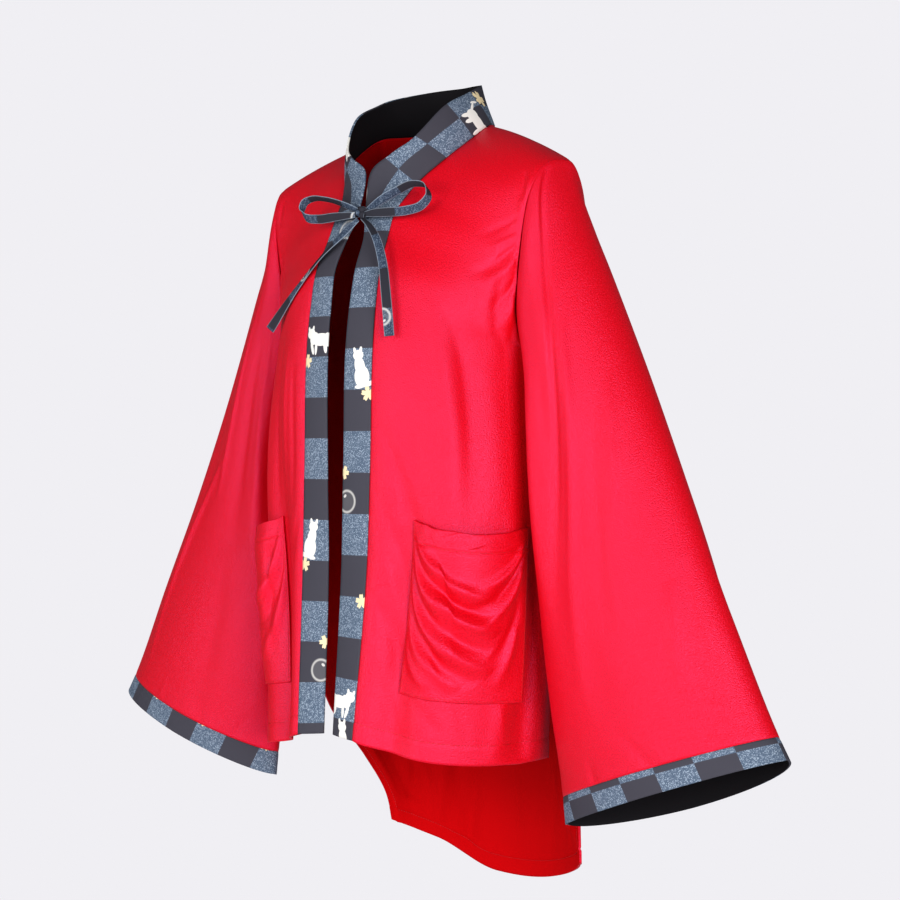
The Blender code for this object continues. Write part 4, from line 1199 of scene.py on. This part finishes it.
def whole_back():
    """The back's outer points from its right edge to its left edge, and its places on the cloth."""
    columns, rows = BACK_GRID
    half = columns // 2
    across, down = np.meshgrid(np.linspace(0, 1, half + 1), np.linspace(0, BACK_LENGTH, rows + 1))
    points = back_surface(across, down[:, :1])
    points = soften(points, across, down, BACK_ARM_DOWN)
    side = flat_side(points)
    edge = smooth_step((1 - across) / EDGE_FADE)
    heights = fold_heights(BACK_FOLDS, across, down, False) * edge
    heights += hem_rise(BACK_LENGTH - down, HEM_WIDTH) + seam_dip(down, PANEL_SEAM)
    from_edge = side[:, -1:] - side
    heights += (down > BACK_SLIT_DOWN) * hem_rise(from_edge, SLIT_HEM)
    heights += (down <= BACK_SLIT_DOWN) * seam_dip(from_edge, ARMHOLE_SEAM)
    left = points + grid_normals(points, flip=True) * heights[..., None]
    left[:, 0, 0] = 0
    right = left[:, :0:-1] * MIRROR
    low = smooth_step((down[:, :1] - BACK_SLIT_DOWN) / (BACK_LENGTH - BACK_SLIT_DOWN))
    out = smooth_step((np.linspace(1, 0, half + 1)[None, :-1] - TAIL_LIFT_FROM) / TAIL_LIFT_WIDTH)
    right[..., 2] += TAIL_LIFT * low * out
    whole = np.concatenate([right, left], axis=1)
    flat = np.concatenate([-side[:, :0:-1], side], axis=1)
    inside = np.concatenate([from_edge[:, :0:-1], from_edge], axis=1)
    down = np.broadcast_to(down[:, :1], flat.shape)
    creases = crease_heights(BACK_CREASES, flat, down) * smooth_step(inside / BACK_SOFT_EDGE)
    whole = whole + grid_normals(whole, flip=True) * creases[..., None]
    slit = doubled(inside, SLIT_HEM) * (down > BACK_SLIT_DOWN)
    double = np.maximum(doubled(BACK_LENGTH - down, HEM_WIDTH), slit)
    return whole, flat_map(flat, -down), double


back_outer, back_uv, back_double = whole_back()
cloth_panel("back", RED_CLOTH, back_outer, back_uv, -1, double=back_double)
print("back:", back_outer.shape, "points")

# %% [markdown]
# ## Sleeves and cuffs
#
# A sleeve is a wide tube set into the armhole, and a cuff of the print closes its end. The arm
# hangs a little forwards, so long folds run from the sleeve head down to the cuff, and the seam of
# the cuff puckers the red a little. Grid columns run all round the tube, and its seam is merged.

# %% Sleeves and cuffs
SLEEVE_GRID = (180, 228)
CUFF_ROWS = 16
SLEEVE_SOFT_EDGE = 0.012
SLEEVE_LENGTH = 0.70
CUFF_WIDTH = 0.0265
# side from the outer edge round by the front, down the sleeve, to side, to down, then as above
SLEEVE_CREASES = {
    "left": (
        (38, 8, 80, 105, 0, 4, 7, 1.8, 0.4, 0),
        (27, 8, 190, 480, 0.05, 5, 11, -3.6, 0.35, 0.1),
        (76, 150, 180, 590, 0.03, 7, 12, 3.2, 0.45, 0),
        (71, 245, 132, 540, 0.02, 7, 10, -1.8, 0.45, 0.2),
        (48, 250, 92, 430, 0.02, 7, 9, 1.7, 0.5, 0),
        (50, 500, 74, 640, 0.02, 6, 8, 1.8, 0.5, 0),
        (30, 480, 46, 650, 0.02, 6, 9, -1.5, 0.5, 0.2),
        (160, 630, 134, 700, 0, 3, 5, -1.3, 0.8, 0),
        (126, 650, 118, 700, 0, 3, 4, 0.9, 0.8, 0),
        (72, 655, 66, 700, 0, 3, 4, -1.2, 0.8, 0),
        (50, 660, 44, 700, 0, 3, 4, 0.8, 0.8, 0),
        (205, 655, 210, 700, 0, 3, 5, -1.1, 0.8, 0),
        (420, 10, 380, 350, -0.03, 7, 13, -3, 0.4, 0.2),
        (455, 30, 440, 420, -0.03, 8, 14, 3, 0.4, 0),
        (400, 220, 420, 620, 0.03, 9, 14, 2.6, 0.5, 0.2),
        (500, 330, 520, 670, 0.02, 9, 14, -2.2, 0.5, 0),
    ),
    "right": (
        (82, 60, 108, 360, 0.02, 3, 5, 2.4, 0.6, 0.1),
        (104, 300, 62, 680, -0.06, 4, 5, 3, 0.4, 0.1),
        (124, 80, 160, 420, 0.02, 10, 15, -1.6, 0.4, 0),
        (150, 20, 200, 300, 0.02, 6, 10, 1.4, 0.4, 0.2),
        (56, 100, 74, 420, 0.02, 9, 13, -1.2, 0.5, 0),
        (200, 300, 250, 660, 0.02, 9, 14, 1.8, 0.5, 0),
        (150, 400, 170, 690, 0.02, 10, 14, -1.4, 0.6, 0.2),
        (240, 640, 236, 700, 0, 3, 5, -1.1, 0.8, 0),
        (180, 650, 184, 700, 0, 3, 5, -1, 0.8, 0),
        (110, 655, 112, 700, 0, 3, 4, 0.8, 0.8, 0),
        (430, 20, 400, 380, -0.03, 7, 13, 2.8, 0.4, 0.2),
        (470, 60, 470, 480, -0.03, 8, 14, -2.8, 0.4, 0),
        (390, 260, 400, 640, 0.03, 9, 14, 2.4, 0.5, 0.2),
        (510, 300, 530, 640, 0.02, 9, 14, 2.2, 0.5, 0),
    ),
}
# where the rows of squares meet below the seam, and where a column starts along the mid-line
CUFF_SPLITS = {"left": (0.0070, 0.1336), "right": (0.0330, 0.1840)}


def sleeve_points(along, side_name):
    """Outer points of a sleeve's rings with its folds, and the metres round each ring."""
    turn = np.linspace(0, 1, SLEEVE_GRID[0] + 1)
    turn, along = np.meshgrid(turn, along)
    points = sleeve_surface(turn, along[:, 0])
    points[..., 2] += CUFF_LIFTS[side_name] * along**2 * (1 - np.cos(2 * math.pi * turn)) / 2
    side = flat_side(points)
    heights = fold_heights(SLEEVE_FOLDS, turn, along, True)
    ends = between(side, side[:, -1:], SLEEVE_SOFT_EDGE)
    heights += crease_heights(SLEEVE_CREASES[side_name], side, along * SLEEVE_LENGTH) * ends
    heights += seam_dip(along * SLEEVE_LENGTH, SLEEVE_HEAD)
    heights += seam_dip((along - CUFF_TOP) * SLEEVE_LENGTH, CUFF_SEAM)
    out = grid_normals(points[:, :-1], wrap=True, flip=True)
    out = np.concatenate([out, out[:, :1]], axis=1)
    return points + out * heights[..., None], side


for side_name, sign in SIDES:
    along = np.linspace(0, CUFF_TOP, SLEEVE_GRID[1] + 1)
    points, side = sleeve_points(along, side_name)
    points = points * (sign, 1, 1)
    uv = flat_map(side, -along[:, None] * SLEEVE_LENGTH)
    cloth_panel(f"sleeve_{side_name}", RED_CLOTH, points, uv, -sign, tube=True)
    along = np.linspace(CUFF_TOP, CUFF_END, CUFF_ROWS + 1)
    points, side = sleeve_points(along, side_name)
    points = points * (sign, 1, 1)
    down = np.linspace(0, CUFF_WIDTH, CUFF_ROWS + 1)[:, None]
    row_split, first_split = CUFF_SPLITS[side_name]
    uv = flat_map(side - first_split, row_split - down)
    cloth_panel(f"cuff_{side_name}", CHECKED_CLOTH, points, uv, -sign, tube=True)
    print(side_name, "sleeve and cuff")

# %% [markdown]
# ## Neck band
#
# One long band of the print is sewn round the neck and down both fronts. It is stiffer than the
# red, so it stands up behind the neck and lies over on the chest. The collar is the part above the
# bow, and the two bands hang below it. Their squares are set here so that each one lands where it
# does on the garment.

# %% Collar and bands
STRIP_CELLS = 14
COLLAR_CELLS = 90
BAND_CELLS = 180
BAND_ROW = 0.003


def strip_points(distance):
    """Outer points of the neck band, from its seam to its free edge, at these distances."""
    edges = curve_through(NECK, distance)
    share = np.linspace(0, 1, STRIP_CELLS + 1)[None, :, None]
    points = edges[:, None, :3] * (1 - share) + edges[:, None, 3:] * share
    side = flat_side(points)
    return points + grid_normals(points, flip=True) * BAND_BULGE * 4 * share * (1 - share), side


# the collar's squares: their length, where two rows meet, and where a column starts
COLLAR_SQUARE = 0.0436
COLLAR_ROW = 0.025
COLLAR_COLUMN = 0.1784
TIE_DISTANCE = NECK_SHOULDER + TIE_DOWN
half_distance = np.linspace(0, TIE_DISTANCE, COLLAR_CELLS + 1)
half_collar, half_side = strip_points(half_distance)
points = np.concatenate([half_collar[:0:-1] * MIRROR, half_collar], axis=0)
side = np.concatenate([half_side[:0:-1], half_side], axis=0)
distance = np.concatenate([-half_distance[:0:-1], half_distance])
column_place = (COLLAR_COLUMN - distance[:, None]) * SQUARE / COLLAR_SQUARE
uv = flat_map(side - COLLAR_ROW + SQUARE, column_place)
cloth_panel("collar", CHECKED_CLOTH, points, uv, -1)

# metres down the front where a dark square starts
BAND_PHASES = {"left": 0.18463, "right": 0.19190}
# the right band is cut from another stretch of the same print, so many squares away
BAND_SHIFTS = {"left": (0, 0), "right": (2, 4)}
for side_name, sign in SIDES:
    down = np.linspace(TIE_DOWN, FRONT_LENGTH, BAND_CELLS + 1)
    points, side = strip_points(NECK_SHOULDER + down)
    points = points * (sign, 1, 1)
    shift = np.array(BAND_SHIFTS[side_name]) * SQUARE
    uv = flat_map(side + BAND_ROW, BAND_PHASES[side_name] - down[:, None]) + shift
    cloth_panel(f"band_{side_name}", CHECKED_CLOTH, points, uv, -sign)
    print(side_name, "band")

# %% [markdown]
# ## Pockets
#
# Each patch pocket is a square of the red, hemmed at its mouth and stitched on along three sides.
# It holds nothing, so it sags: folds run from both mouth corners and meet low in the middle. It is
# made from the front's own points, moved out, so it can't sink into the front.

# %% Pockets
POCKET_GRID = (90, 130)
POCKET_PUFF = 0.0050
POCKET_FOLDS = 1.5
# how much of the room behind it a fold may use, and how softly it then meets the front
POCKET_ROOM = 0.85
POCKET_EVEN = 0.0012
# how blunt the puff and the sag are, across and down
PUFF_POWERS = (0.7, 5)
PUFF_FROM = 0.15
SAG_POWER = 1.5
# a fold starts this far below the mouth, and ends this share before the other edges
MOUTH_EVEN = 0.004
POCKET_SOFT_EDGE = 0.05
# side from the inner edge, down from the mouth, to side, to down, then as above
POCKET_CREASES = {
    "left": (
        (3, 6, 94, 70, -0.14, 3, 8, 4, 0.6, 0),
        (3, 16, 92, 86, -0.15, 3, 6, -3, 0.6, 0),
        (3, 28, 100, 102, -0.16, 4, 8, 4.2, 0.6, 0),
        (3, 44, 94, 122, -0.15, 4, 7, -3, 0.6, 0),
        (3, 58, 98, 142, -0.15, 4, 9, 3.8, 0.55, 0),
        (3, 76, 84, 154, -0.14, 5, 8, -2.6, 0.55, 0),
        (3, 92, 66, 160, -0.12, 5, 8, 2.6, 0.5, 0),
        (3, 112, 36, 164, -0.1, 4, 7, 1.8, 0.5, 0),
        (121, 10, 66, 60, 0.14, 3, 7, 3.2, 0.4, 0),
        (121, 24, 60, 82, 0.14, 3, 7, -3.2, 0.4, 0),
        (121, 40, 72, 100, 0.12, 4, 7, 2.4, 0.4, 0),
        (121, 70, 92, 140, 0.08, 4, 8, -1.8, 0.4, 0),
        (121, 96, 104, 160, 0.05, 4, 7, 1.6, 0.4, 0),
    ),
    "right": (
        (3, 8, 58, 92, -0.14, 3, 8, 3.4, 0.5, 0),
        (3, 22, 50, 118, -0.12, 4, 7, -2.8, 0.5, 0),
        (3, 44, 44, 150, -0.1, 4, 8, 3, 0.5, 0),
        (20, 20, 22, 150, 0.02, 4, 6, -2, 0.5, 0),
        (121, 8, 66, 74, 0.15, 3, 8, 3.6, 0.5, 0),
        (121, 20, 62, 96, 0.15, 3, 7, -3, 0.5, 0),
        (121, 36, 60, 120, 0.14, 4, 8, 3.6, 0.5, 0),
        (121, 60, 72, 146, 0.12, 4, 8, -2.4, 0.5, 0),
        (121, 86, 90, 160, 0.08, 4, 8, 2.2, 0.5, 0),
    ),
}


def pocket_points(side_name):
    """A patch on the front's own points, moved out. Its mouth sags and stands away."""
    columns, rows = POCKET_GRID
    across = np.linspace(POCKET_INNER, POCKET_OUTER, columns + 1)
    across, down = np.meshgrid(across, np.linspace(MOUTH_DOWN, SLIT_DOWN, rows + 1))
    base = front_points(across, down, side_name)[0]
    out = grid_normals(base)
    share_down = (down - MOUTH_DOWN) / (SLIT_DOWN - MOUTH_DOWN)
    share_across = (across - POCKET_INNER) / (POCKET_OUTER - POCKET_INNER)
    belly = np.sin(math.pi * share_across) * (1 - share_down) ** SAG_POWER
    puff = np.sin(math.pi * share_across) ** PUFF_POWERS[0] * (1 - share_down ** PUFF_POWERS[1])
    puff = puff * smooth_step(share_down / PUFF_FROM)
    sag = unit(np.gradient(base, axis=0)) * (belly * POCKET_SAG)[..., None]
    side = flat_side(base)
    down = down - MOUTH_DOWN
    room = belly * POCKET_STAND + puff * POCKET_PUFF
    creases = POCKET_FOLDS * crease_heights(POCKET_CREASES[side_name], side, down)
    creases *= between(share_across, 1, POCKET_SOFT_EDGE)
    creases *= smooth_step((1 - share_down) / POCKET_SOFT_EDGE)
    creases *= smooth_step((down - MOUTH_EVEN) / MOUTH_HEM)
    floor = POCKET_ROOM * room
    above = creases + floor
    creases = (above + np.hypot(above, POCKET_EVEN)) / 2 - floor
    stand = POCKET_LAY + CLOTH + room + creases
    stand += hem_rise(down, MOUTH_HEM)
    return base + sag + out * stand[..., None], flat_map(side, -down), doubled(down, MOUTH_HEM)


pocket_outer = {}
for side_name, sign in SIDES:
    points, uv, double = pocket_points(side_name)
    points = points * (sign, 1, 1)
    cloth_panel(f"pocket_{side_name}", RED_CLOTH, points, uv, sign, double=double)
    pocket_outer[side_name] = points
print("pockets:", points.shape, "points each")

# %% [markdown]
# ## The tie
#
# Two narrow strips of the print, folded to ten millimetres, meet in a small knot and make a bow.
# A strip is a flat tube: a grid that runs along the bow's path and wraps once round its section.

# %% Tie paths
TIE_THICK = 0.0014
KNOT_CENTRE = (0.0120, -0.1040, -0.1090)
# x, y, z, turn of its width in radians, from upright or on a tail from sideways, width
TIE_PATHS = {
    "loop_left": (
        (0.0192, -0.1024, -0.1066, 0.3, 0.006),
        (0.034, -0.1008, -0.0985, 0.5, 0.009),
        (0.055, -0.0965, -0.0885, 0.8, 0.01),
        (0.075, -0.093, -0.0825, 0.9, 0.01),
        (0.0885, -0.09, -0.086, 0.9, 0.01),
        (0.0915, -0.089, -0.096, 0.8, 0.01),
        (0.085, -0.092, -0.1055, 0.6, 0.01),
        (0.069, -0.098, -0.1105, 0.4, 0.01),
        (0.048, -0.1035, -0.111, 0.3, 0.01),
        (0.032, -0.1065, -0.111, 0.2, 0.009),
        (0.0192, -0.1066, -0.1114, 0.2, 0.006),
    ),
    "loop_right": (
        (0.0049, -0.102, -0.1066, 0.3, 0.006),
        (-0.012, -0.1035, -0.0995, 0.7, 0.009),
        (-0.037, -0.108, -0.0915, 1, 0.0095),
        (-0.054, -0.111, -0.09, 1, 0.0095),
        (-0.064, -0.113, -0.094, 0.9, 0.0095),
        (-0.0665, -0.114, -0.102, 0.7, 0.0095),
        (-0.06, -0.115, -0.1095, 0.5, 0.01),
        (-0.043, -0.1145, -0.113, 0.3, 0.01),
        (-0.02, -0.111, -0.112, 0.2, 0.0095),
        (0.0048, -0.1064, -0.1112, 0.1, 0.006),
    ),
    "tail_left": (
        (0.0151, -0.1065, -0.116, 0.6, 0.005),
        (0.029, -0.112, -0.124, 0.5, 0.007),
        (0.045, -0.119, -0.138, 0.5, 0.0085),
        (0.06, -0.1255, -0.164, 0.6, 0.0095),
        (0.07, -0.131, -0.1995, 0.6, 0.0105),
        (0.077, -0.1335, -0.243, 0.6, 0.0105),
    ),
    "tail_right": (
        (0.0089, -0.1067, -0.1162, 0.2, 0.005),
        (-0.006, -0.1095, -0.128, 0, 0.0085),
        (-0.037, -0.114, -0.153, -0.5, 0.0095),
        (-0.072, -0.113, -0.183, -0.4, 0.01),
        (-0.12, -0.109, -0.228, 0.2, 0.0105),
    ),
    "root_left": (
        (0.03, -0.0951, -0.109, 0.5, 0.009),
        (0.022, -0.096, -0.1095, 0.3, 0.007),
        (0.0143, -0.0977, -0.109, 0, 0.006),
    ),
    "root_right": (
        (-0.015, -0.0965, -0.109, 0.5, 0.009),
        (-0.004, -0.0966, -0.109, 0.3, 0.008),
        (0.0094, -0.0977, -0.109, 0, 0.006),
    ),
}

# %% Strips of the tie
SECTION_POINTS = 12
# how square a strip's section is, across its width and its thickness: 1 would be an oval
SECTION_POWERS = (0.55, 0.75)
# the strip is cut between the cats, from this far across the print
TIE_COLUMN = 1.62 * SQUARE
END_EDGE = 0.002
# does it hang, cells along it, and where its print starts
TIE_STRIPS = {
    "loop_left": (False, 90, 0.0),
    "loop_right": (False, 80, 0.02),
    "tail_left": (True, 60, 0.05),
    "tail_right": (True, 60, 0.09),
    "root_left": (False, 16, 0.03),
    "root_right": (False, 16, 0.07),
}


def round_power(values, power):
    """The values with their sign, raised to a power that squares off an oval."""
    return np.sign(values) * np.abs(values) ** power


def tie_tube(name, node, points, uv, to_edge, end_uv=None):
    """A tube of the tie's cloth. The grid wraps once round, and end_uv closes its ends."""
    shape = grid_shape(points, {"cloth": uv, "edge": flat_map(to_edge, 0.0)})[0]
    bmesh.ops.remove_doubles(shape, verts=shape.verts, dist=1e-6)
    if end_uv:
        layers = shape.loops.layers.uv
        for face in bmesh.ops.holes_fill(shape, edges=shape.edges)["faces"]:
            for loop in face.loops:
                loop[layers["cloth"]].uv = end_uv
                loop[layers["edge"]].uv = (END_EDGE, 0)
    bmesh.ops.recalc_face_normals(shape, faces=shape.faces)
    finish_piece(object_from(name, shape, TIE_CLOTH_SHADED), node)


section = np.linspace(0, 2 * math.pi, SECTION_POINTS + 1)
wide = round_power(np.cos(section), SECTION_POWERS[0])
thick = round_power(np.sin(section), SECTION_POWERS[1])
for part, (hangs, cells, print_start) in TIE_STRIPS.items():
    rows = np.array(TIE_PATHS[part])
    keys = run_lengths(rows[:, :3])
    far = np.linspace(0, keys[-1], cells + 1)
    path = curve_through(np.column_stack([keys, rows]), far)
    centre = path[:, :3]
    c = np.cos(path[:, 3])
    s = np.sin(path[:, 3])
    tangent = unit(np.gradient(centre, axis=0))
    across = np.stack([c, s, 0 * s] if hangs else [0 * s, -s, c], axis=-1)
    wide_way = unit(across - tangent * np.sum(across * tangent, axis=-1, keepdims=True))
    thick_way = np.cross(tangent, wide_way)
    half_width = path[:, 4][:, None] / 2
    points = centre[:, None] + wide_way[:, None] * (wide * half_width)[..., None]
    points = points + thick_way[:, None] * (thick * TIE_THICK / 2)[None, :, None]
    side = (wide + 1) * half_width
    uv = flat_map(side + TIE_COLUMN, far[:, None] + print_start + SQUARE)
    to_edge = np.minimum(side, 2 * half_width - side)
    tie_tube(f"tie_strip_{part}", f"tie_{part}", points, uv, to_edge, (TIE_COLUMN, print_start))
print("tie strips:", len(TIE_STRIPS))

# %% [markdown]
# ## The knot
#
# Where the strips cross they are wound over and under each other and pulled tight. A ball would
# look like a bead, so one rounded strip follows a three-lobed knot curve round the same centre: it
# passes over and under itself as the real one does.

# %% Knot
KNOT_TURN = 0.00145
KNOT_LOBE = 2.1
KNOT_DEEP = 0.0024
KNOT_STRIP = (0.0032, 0.0023)
KNOT_ROUND = 0.014
KNOT_EDGE = 0.0035
KNOT_CELLS = 150

t = np.linspace(0, 2 * math.pi, KNOT_CELLS + 1)
path_x = KNOT_TURN * (np.sin(t) + KNOT_LOBE * np.sin(2 * t))
path_z = KNOT_TURN * (np.cos(t) - KNOT_LOBE * np.cos(2 * t))
path = np.stack([path_x, KNOT_DEEP * np.sin(3 * t), path_z], axis=-1)
tangent = unit(np.roll(path[:-1], -1, 0) - np.roll(path[:-1], 1, 0))
tangent = np.concatenate([tangent, tangent[:1]])
thick_way = unit(np.array([0.0, -1.0, 0.0]) - tangent * -tangent[:, 1:2])
wide_way = np.cross(tangent, thick_way)
points = path[:, None] + wide_way[:, None] * (np.cos(section) * KNOT_STRIP[0])[None, :, None]
points = points + thick_way[:, None] * (np.sin(section) * KNOT_STRIP[1])[None, :, None]
points = points + np.array(KNOT_CENTRE)
along = run_lengths(path)
uv = flat_map(TIE_COLUMN + section / (2 * math.pi) * KNOT_ROUND, along[:, None])
to_edge = np.broadcast_to(np.abs(np.sin(section)) * KNOT_EDGE, points.shape[:2])
tie_tube("tie_knot_cloth", "tie_knot", points, uv, to_edge)
print("knot round", KNOT_CENTRE, "strip length", round(float(along[-1]), 4))

# %% [markdown]
# ## Stitches
#
# Hems and pockets are sewn with a lockstitch: short threads in a row, seen on both sides of the
# cloth. One thread is a small rounded bar. It is copied along each seam line, turned to follow it
# and joined to one mesh for each panel, which is lighter than hundreds of objects. A bump alone
# would lose the threads' own shadows.

# %% Stitches
STITCH_PITCH = 0.0031
STITCH_SIZE = (0.00118, 0.00042, 0.00034)
STITCH_LIFT = 0.00012
# a hem lies double, so its wrong side is this many thicknesses below its right side
WRONG_SIDE = -1.50
OUTSIDE = (STITCH_LIFT,)
BOTH_SIDES = (STITCH_LIFT, CLOTH * WRONG_SIDE)
# how far from the pocket's edges its stitches run
POCKET_STITCH = 0.0022
POCKET_WIDTH = 0.123
# how many points a seam line is followed by
FRONT_HEM_STEPS = 200
POCKET_DOWN_STEPS = 160
POCKET_ACROSS_STEPS = 120
SLIT_STEPS = 120
BACK_HEM_STEPS = 300

shape = bmesh.new()
bmesh.ops.create_uvsphere(shape, u_segments=6, v_segments=4, radius=1.0)
shape.verts.ensure_lookup_table()
one_stitch = np.array([vertex.co[:] for vertex in shape.verts])[:, [2, 0, 1]] * STITCH_SIZE
stitch_faces = [[vertex.index for vertex in face.verts] for face in shape.faces]
shape.free()


def on_grid(grid, row, column):
    """The grid's value between its points, at fractional rows and columns."""
    r = np.clip(np.floor(row).astype(int), 0, grid.shape[0] - 2)
    c = np.clip(np.floor(column).astype(int), 0, grid.shape[1] - 2)
    a = (row - r)[:, None]
    b = (column - c)[:, None]
    near = grid[r, c] * (1 - b) + grid[r, c + 1] * b
    far = grid[r + 1, c] * (1 - b) + grid[r + 1, c + 1] * b
    return near * (1 - a) + far * a


def read_at(at, lengths, line):
    """Points of a line at these distances along it."""
    return np.stack([np.interp(at, lengths, line[:, k]) for k in range(3)], axis=-1)


def stitch_places(points, normals, row, column, lift):
    """The corners of every stitch along a line on the grid, turned to follow it."""
    outwards = on_grid(normals, row, column)
    line = on_grid(points, row, column) + outwards * lift
    lengths = run_lengths(line)
    at = np.arange(STITCH_PITCH, lengths[-1] - STITCH_PITCH / 2, STITCH_PITCH)
    middle = read_at(at, lengths, line)
    run = unit(read_at(at + STITCH_PITCH / 4, lengths, line) - middle)
    up = unit(read_at(at, lengths, outwards))
    up = unit(up - run * np.sum(up * run, axis=-1, keepdims=True))
    frames = np.stack([run, np.cross(run, up), up], axis=1)
    return middle[:, None] + np.einsum("vk,skj->svj", one_stitch, frames)


def sew(panel, points, flip, levels, paths):
    """All stitches of one panel as one mesh. A path is the rows and columns of a seam line."""
    name = panel.replace("red", "stitches")
    normals = grid_normals(points, flip=flip)
    lines = [(*np.broadcast_arrays(row, column), level) for row, column in paths for level in levels]
    places = np.concatenate([stitch_places(points, normals, *line) for line in lines])
    count, size = places.shape[:2]
    faces = [[index + size * n for index in face] for n in range(count) for face in stitch_faces]
    mesh = bpy.data.meshes.new(name)
    mesh.from_pydata(places.reshape(-1, 3).tolist(), [], faces)
    mesh.materials.append(RED_THREAD)
    mesh.polygons.foreach_set("use_smooth", [True] * len(mesh.polygons))
    obj = bpy.data.objects.new(name, mesh)
    bpy.context.collection.objects.link(obj)
    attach(obj, "root")
    print(name, count, "stitches")


THREAD_COLOUR = (0.50, 0.0006, 0.004, 1)
THREAD_DEEP = (0.38, 0.0003, 0.002, 1)
THREAD_LIGHT = (0.62, 0.004, 0.012, 1)
THREAD_TWIST = 2600.0
RED_THREAD = plain_material("red_thread", THREAD_COLOUR, 0.45)
nodes = Nodes(RED_THREAD.node_tree)
twist = nodes.noise(nodes.add("TexCoord").outputs["Object"], THREAD_TWIST, 1.0, 0.5)
shader = RED_THREAD.node_tree.nodes["Principled BSDF"].inputs
nodes.feed(shader["Base Color"], nodes.mix(twist, THREAD_DEEP, THREAD_LIGHT))

for side_name, sign in SIDES:
    points = front_outer[side_name]
    last_row, last_column = points.shape[0] - 1, points.shape[1] - 1
    hem_row = last_row * (1 - HEM_WIDTH / FRONT_LENGTH)
    paths = ((hem_row, np.linspace(0, last_column, FRONT_HEM_STEPS)),)
    sew(f"red_front_{side_name}", points, sign < 0, BOTH_SIDES, paths)

    points = pocket_outer[side_name]
    last_row, last_column = points.shape[0] - 1, points.shape[1] - 1
    depth = SLIT_DOWN - MOUTH_DOWN
    in_row = last_row * POCKET_STITCH / depth
    in_column = last_column * POCKET_STITCH / POCKET_WIDTH
    down_row = np.linspace(0, last_row - in_row, POCKET_DOWN_STEPS)
    across_column = np.linspace(in_column, last_column - in_column, POCKET_ACROSS_STEPS)
    paths = (
        (down_row, in_column),
        (down_row, last_column - in_column),
        (last_row - in_row, across_column),
        (last_row * MOUTH_HEM / depth, across_column),
    )
    sew(f"red_pocket_{side_name}", points, sign < 0, OUTSIDE, paths)

last_row, last_column = back_outer.shape[0] - 1, back_outer.shape[1] - 1
hem_row = last_row * (1 - HEM_WIDTH / BACK_LENGTH)
rows = np.linspace(last_row * BACK_SLIT_DOWN / BACK_LENGTH, hem_row, SLIT_STEPS)
sides = back_uv[..., 0]
columns = np.arange(last_column + 1)
left_line = np.array([np.interp(sides[int(r), -1] - SLIT_HEM, sides[int(r)], columns) for r in rows])
right_line = np.array([np.interp(sides[int(r), 0] + SLIT_HEM, sides[int(r)], columns) for r in rows])
hem_columns = np.linspace(right_line[-1], left_line[-1], BACK_HEM_STEPS)
paths = ((hem_row, hem_columns), (rows, left_line), (rows, right_line))
sew("red_back", back_outer, True, BOTH_SIDES, paths)
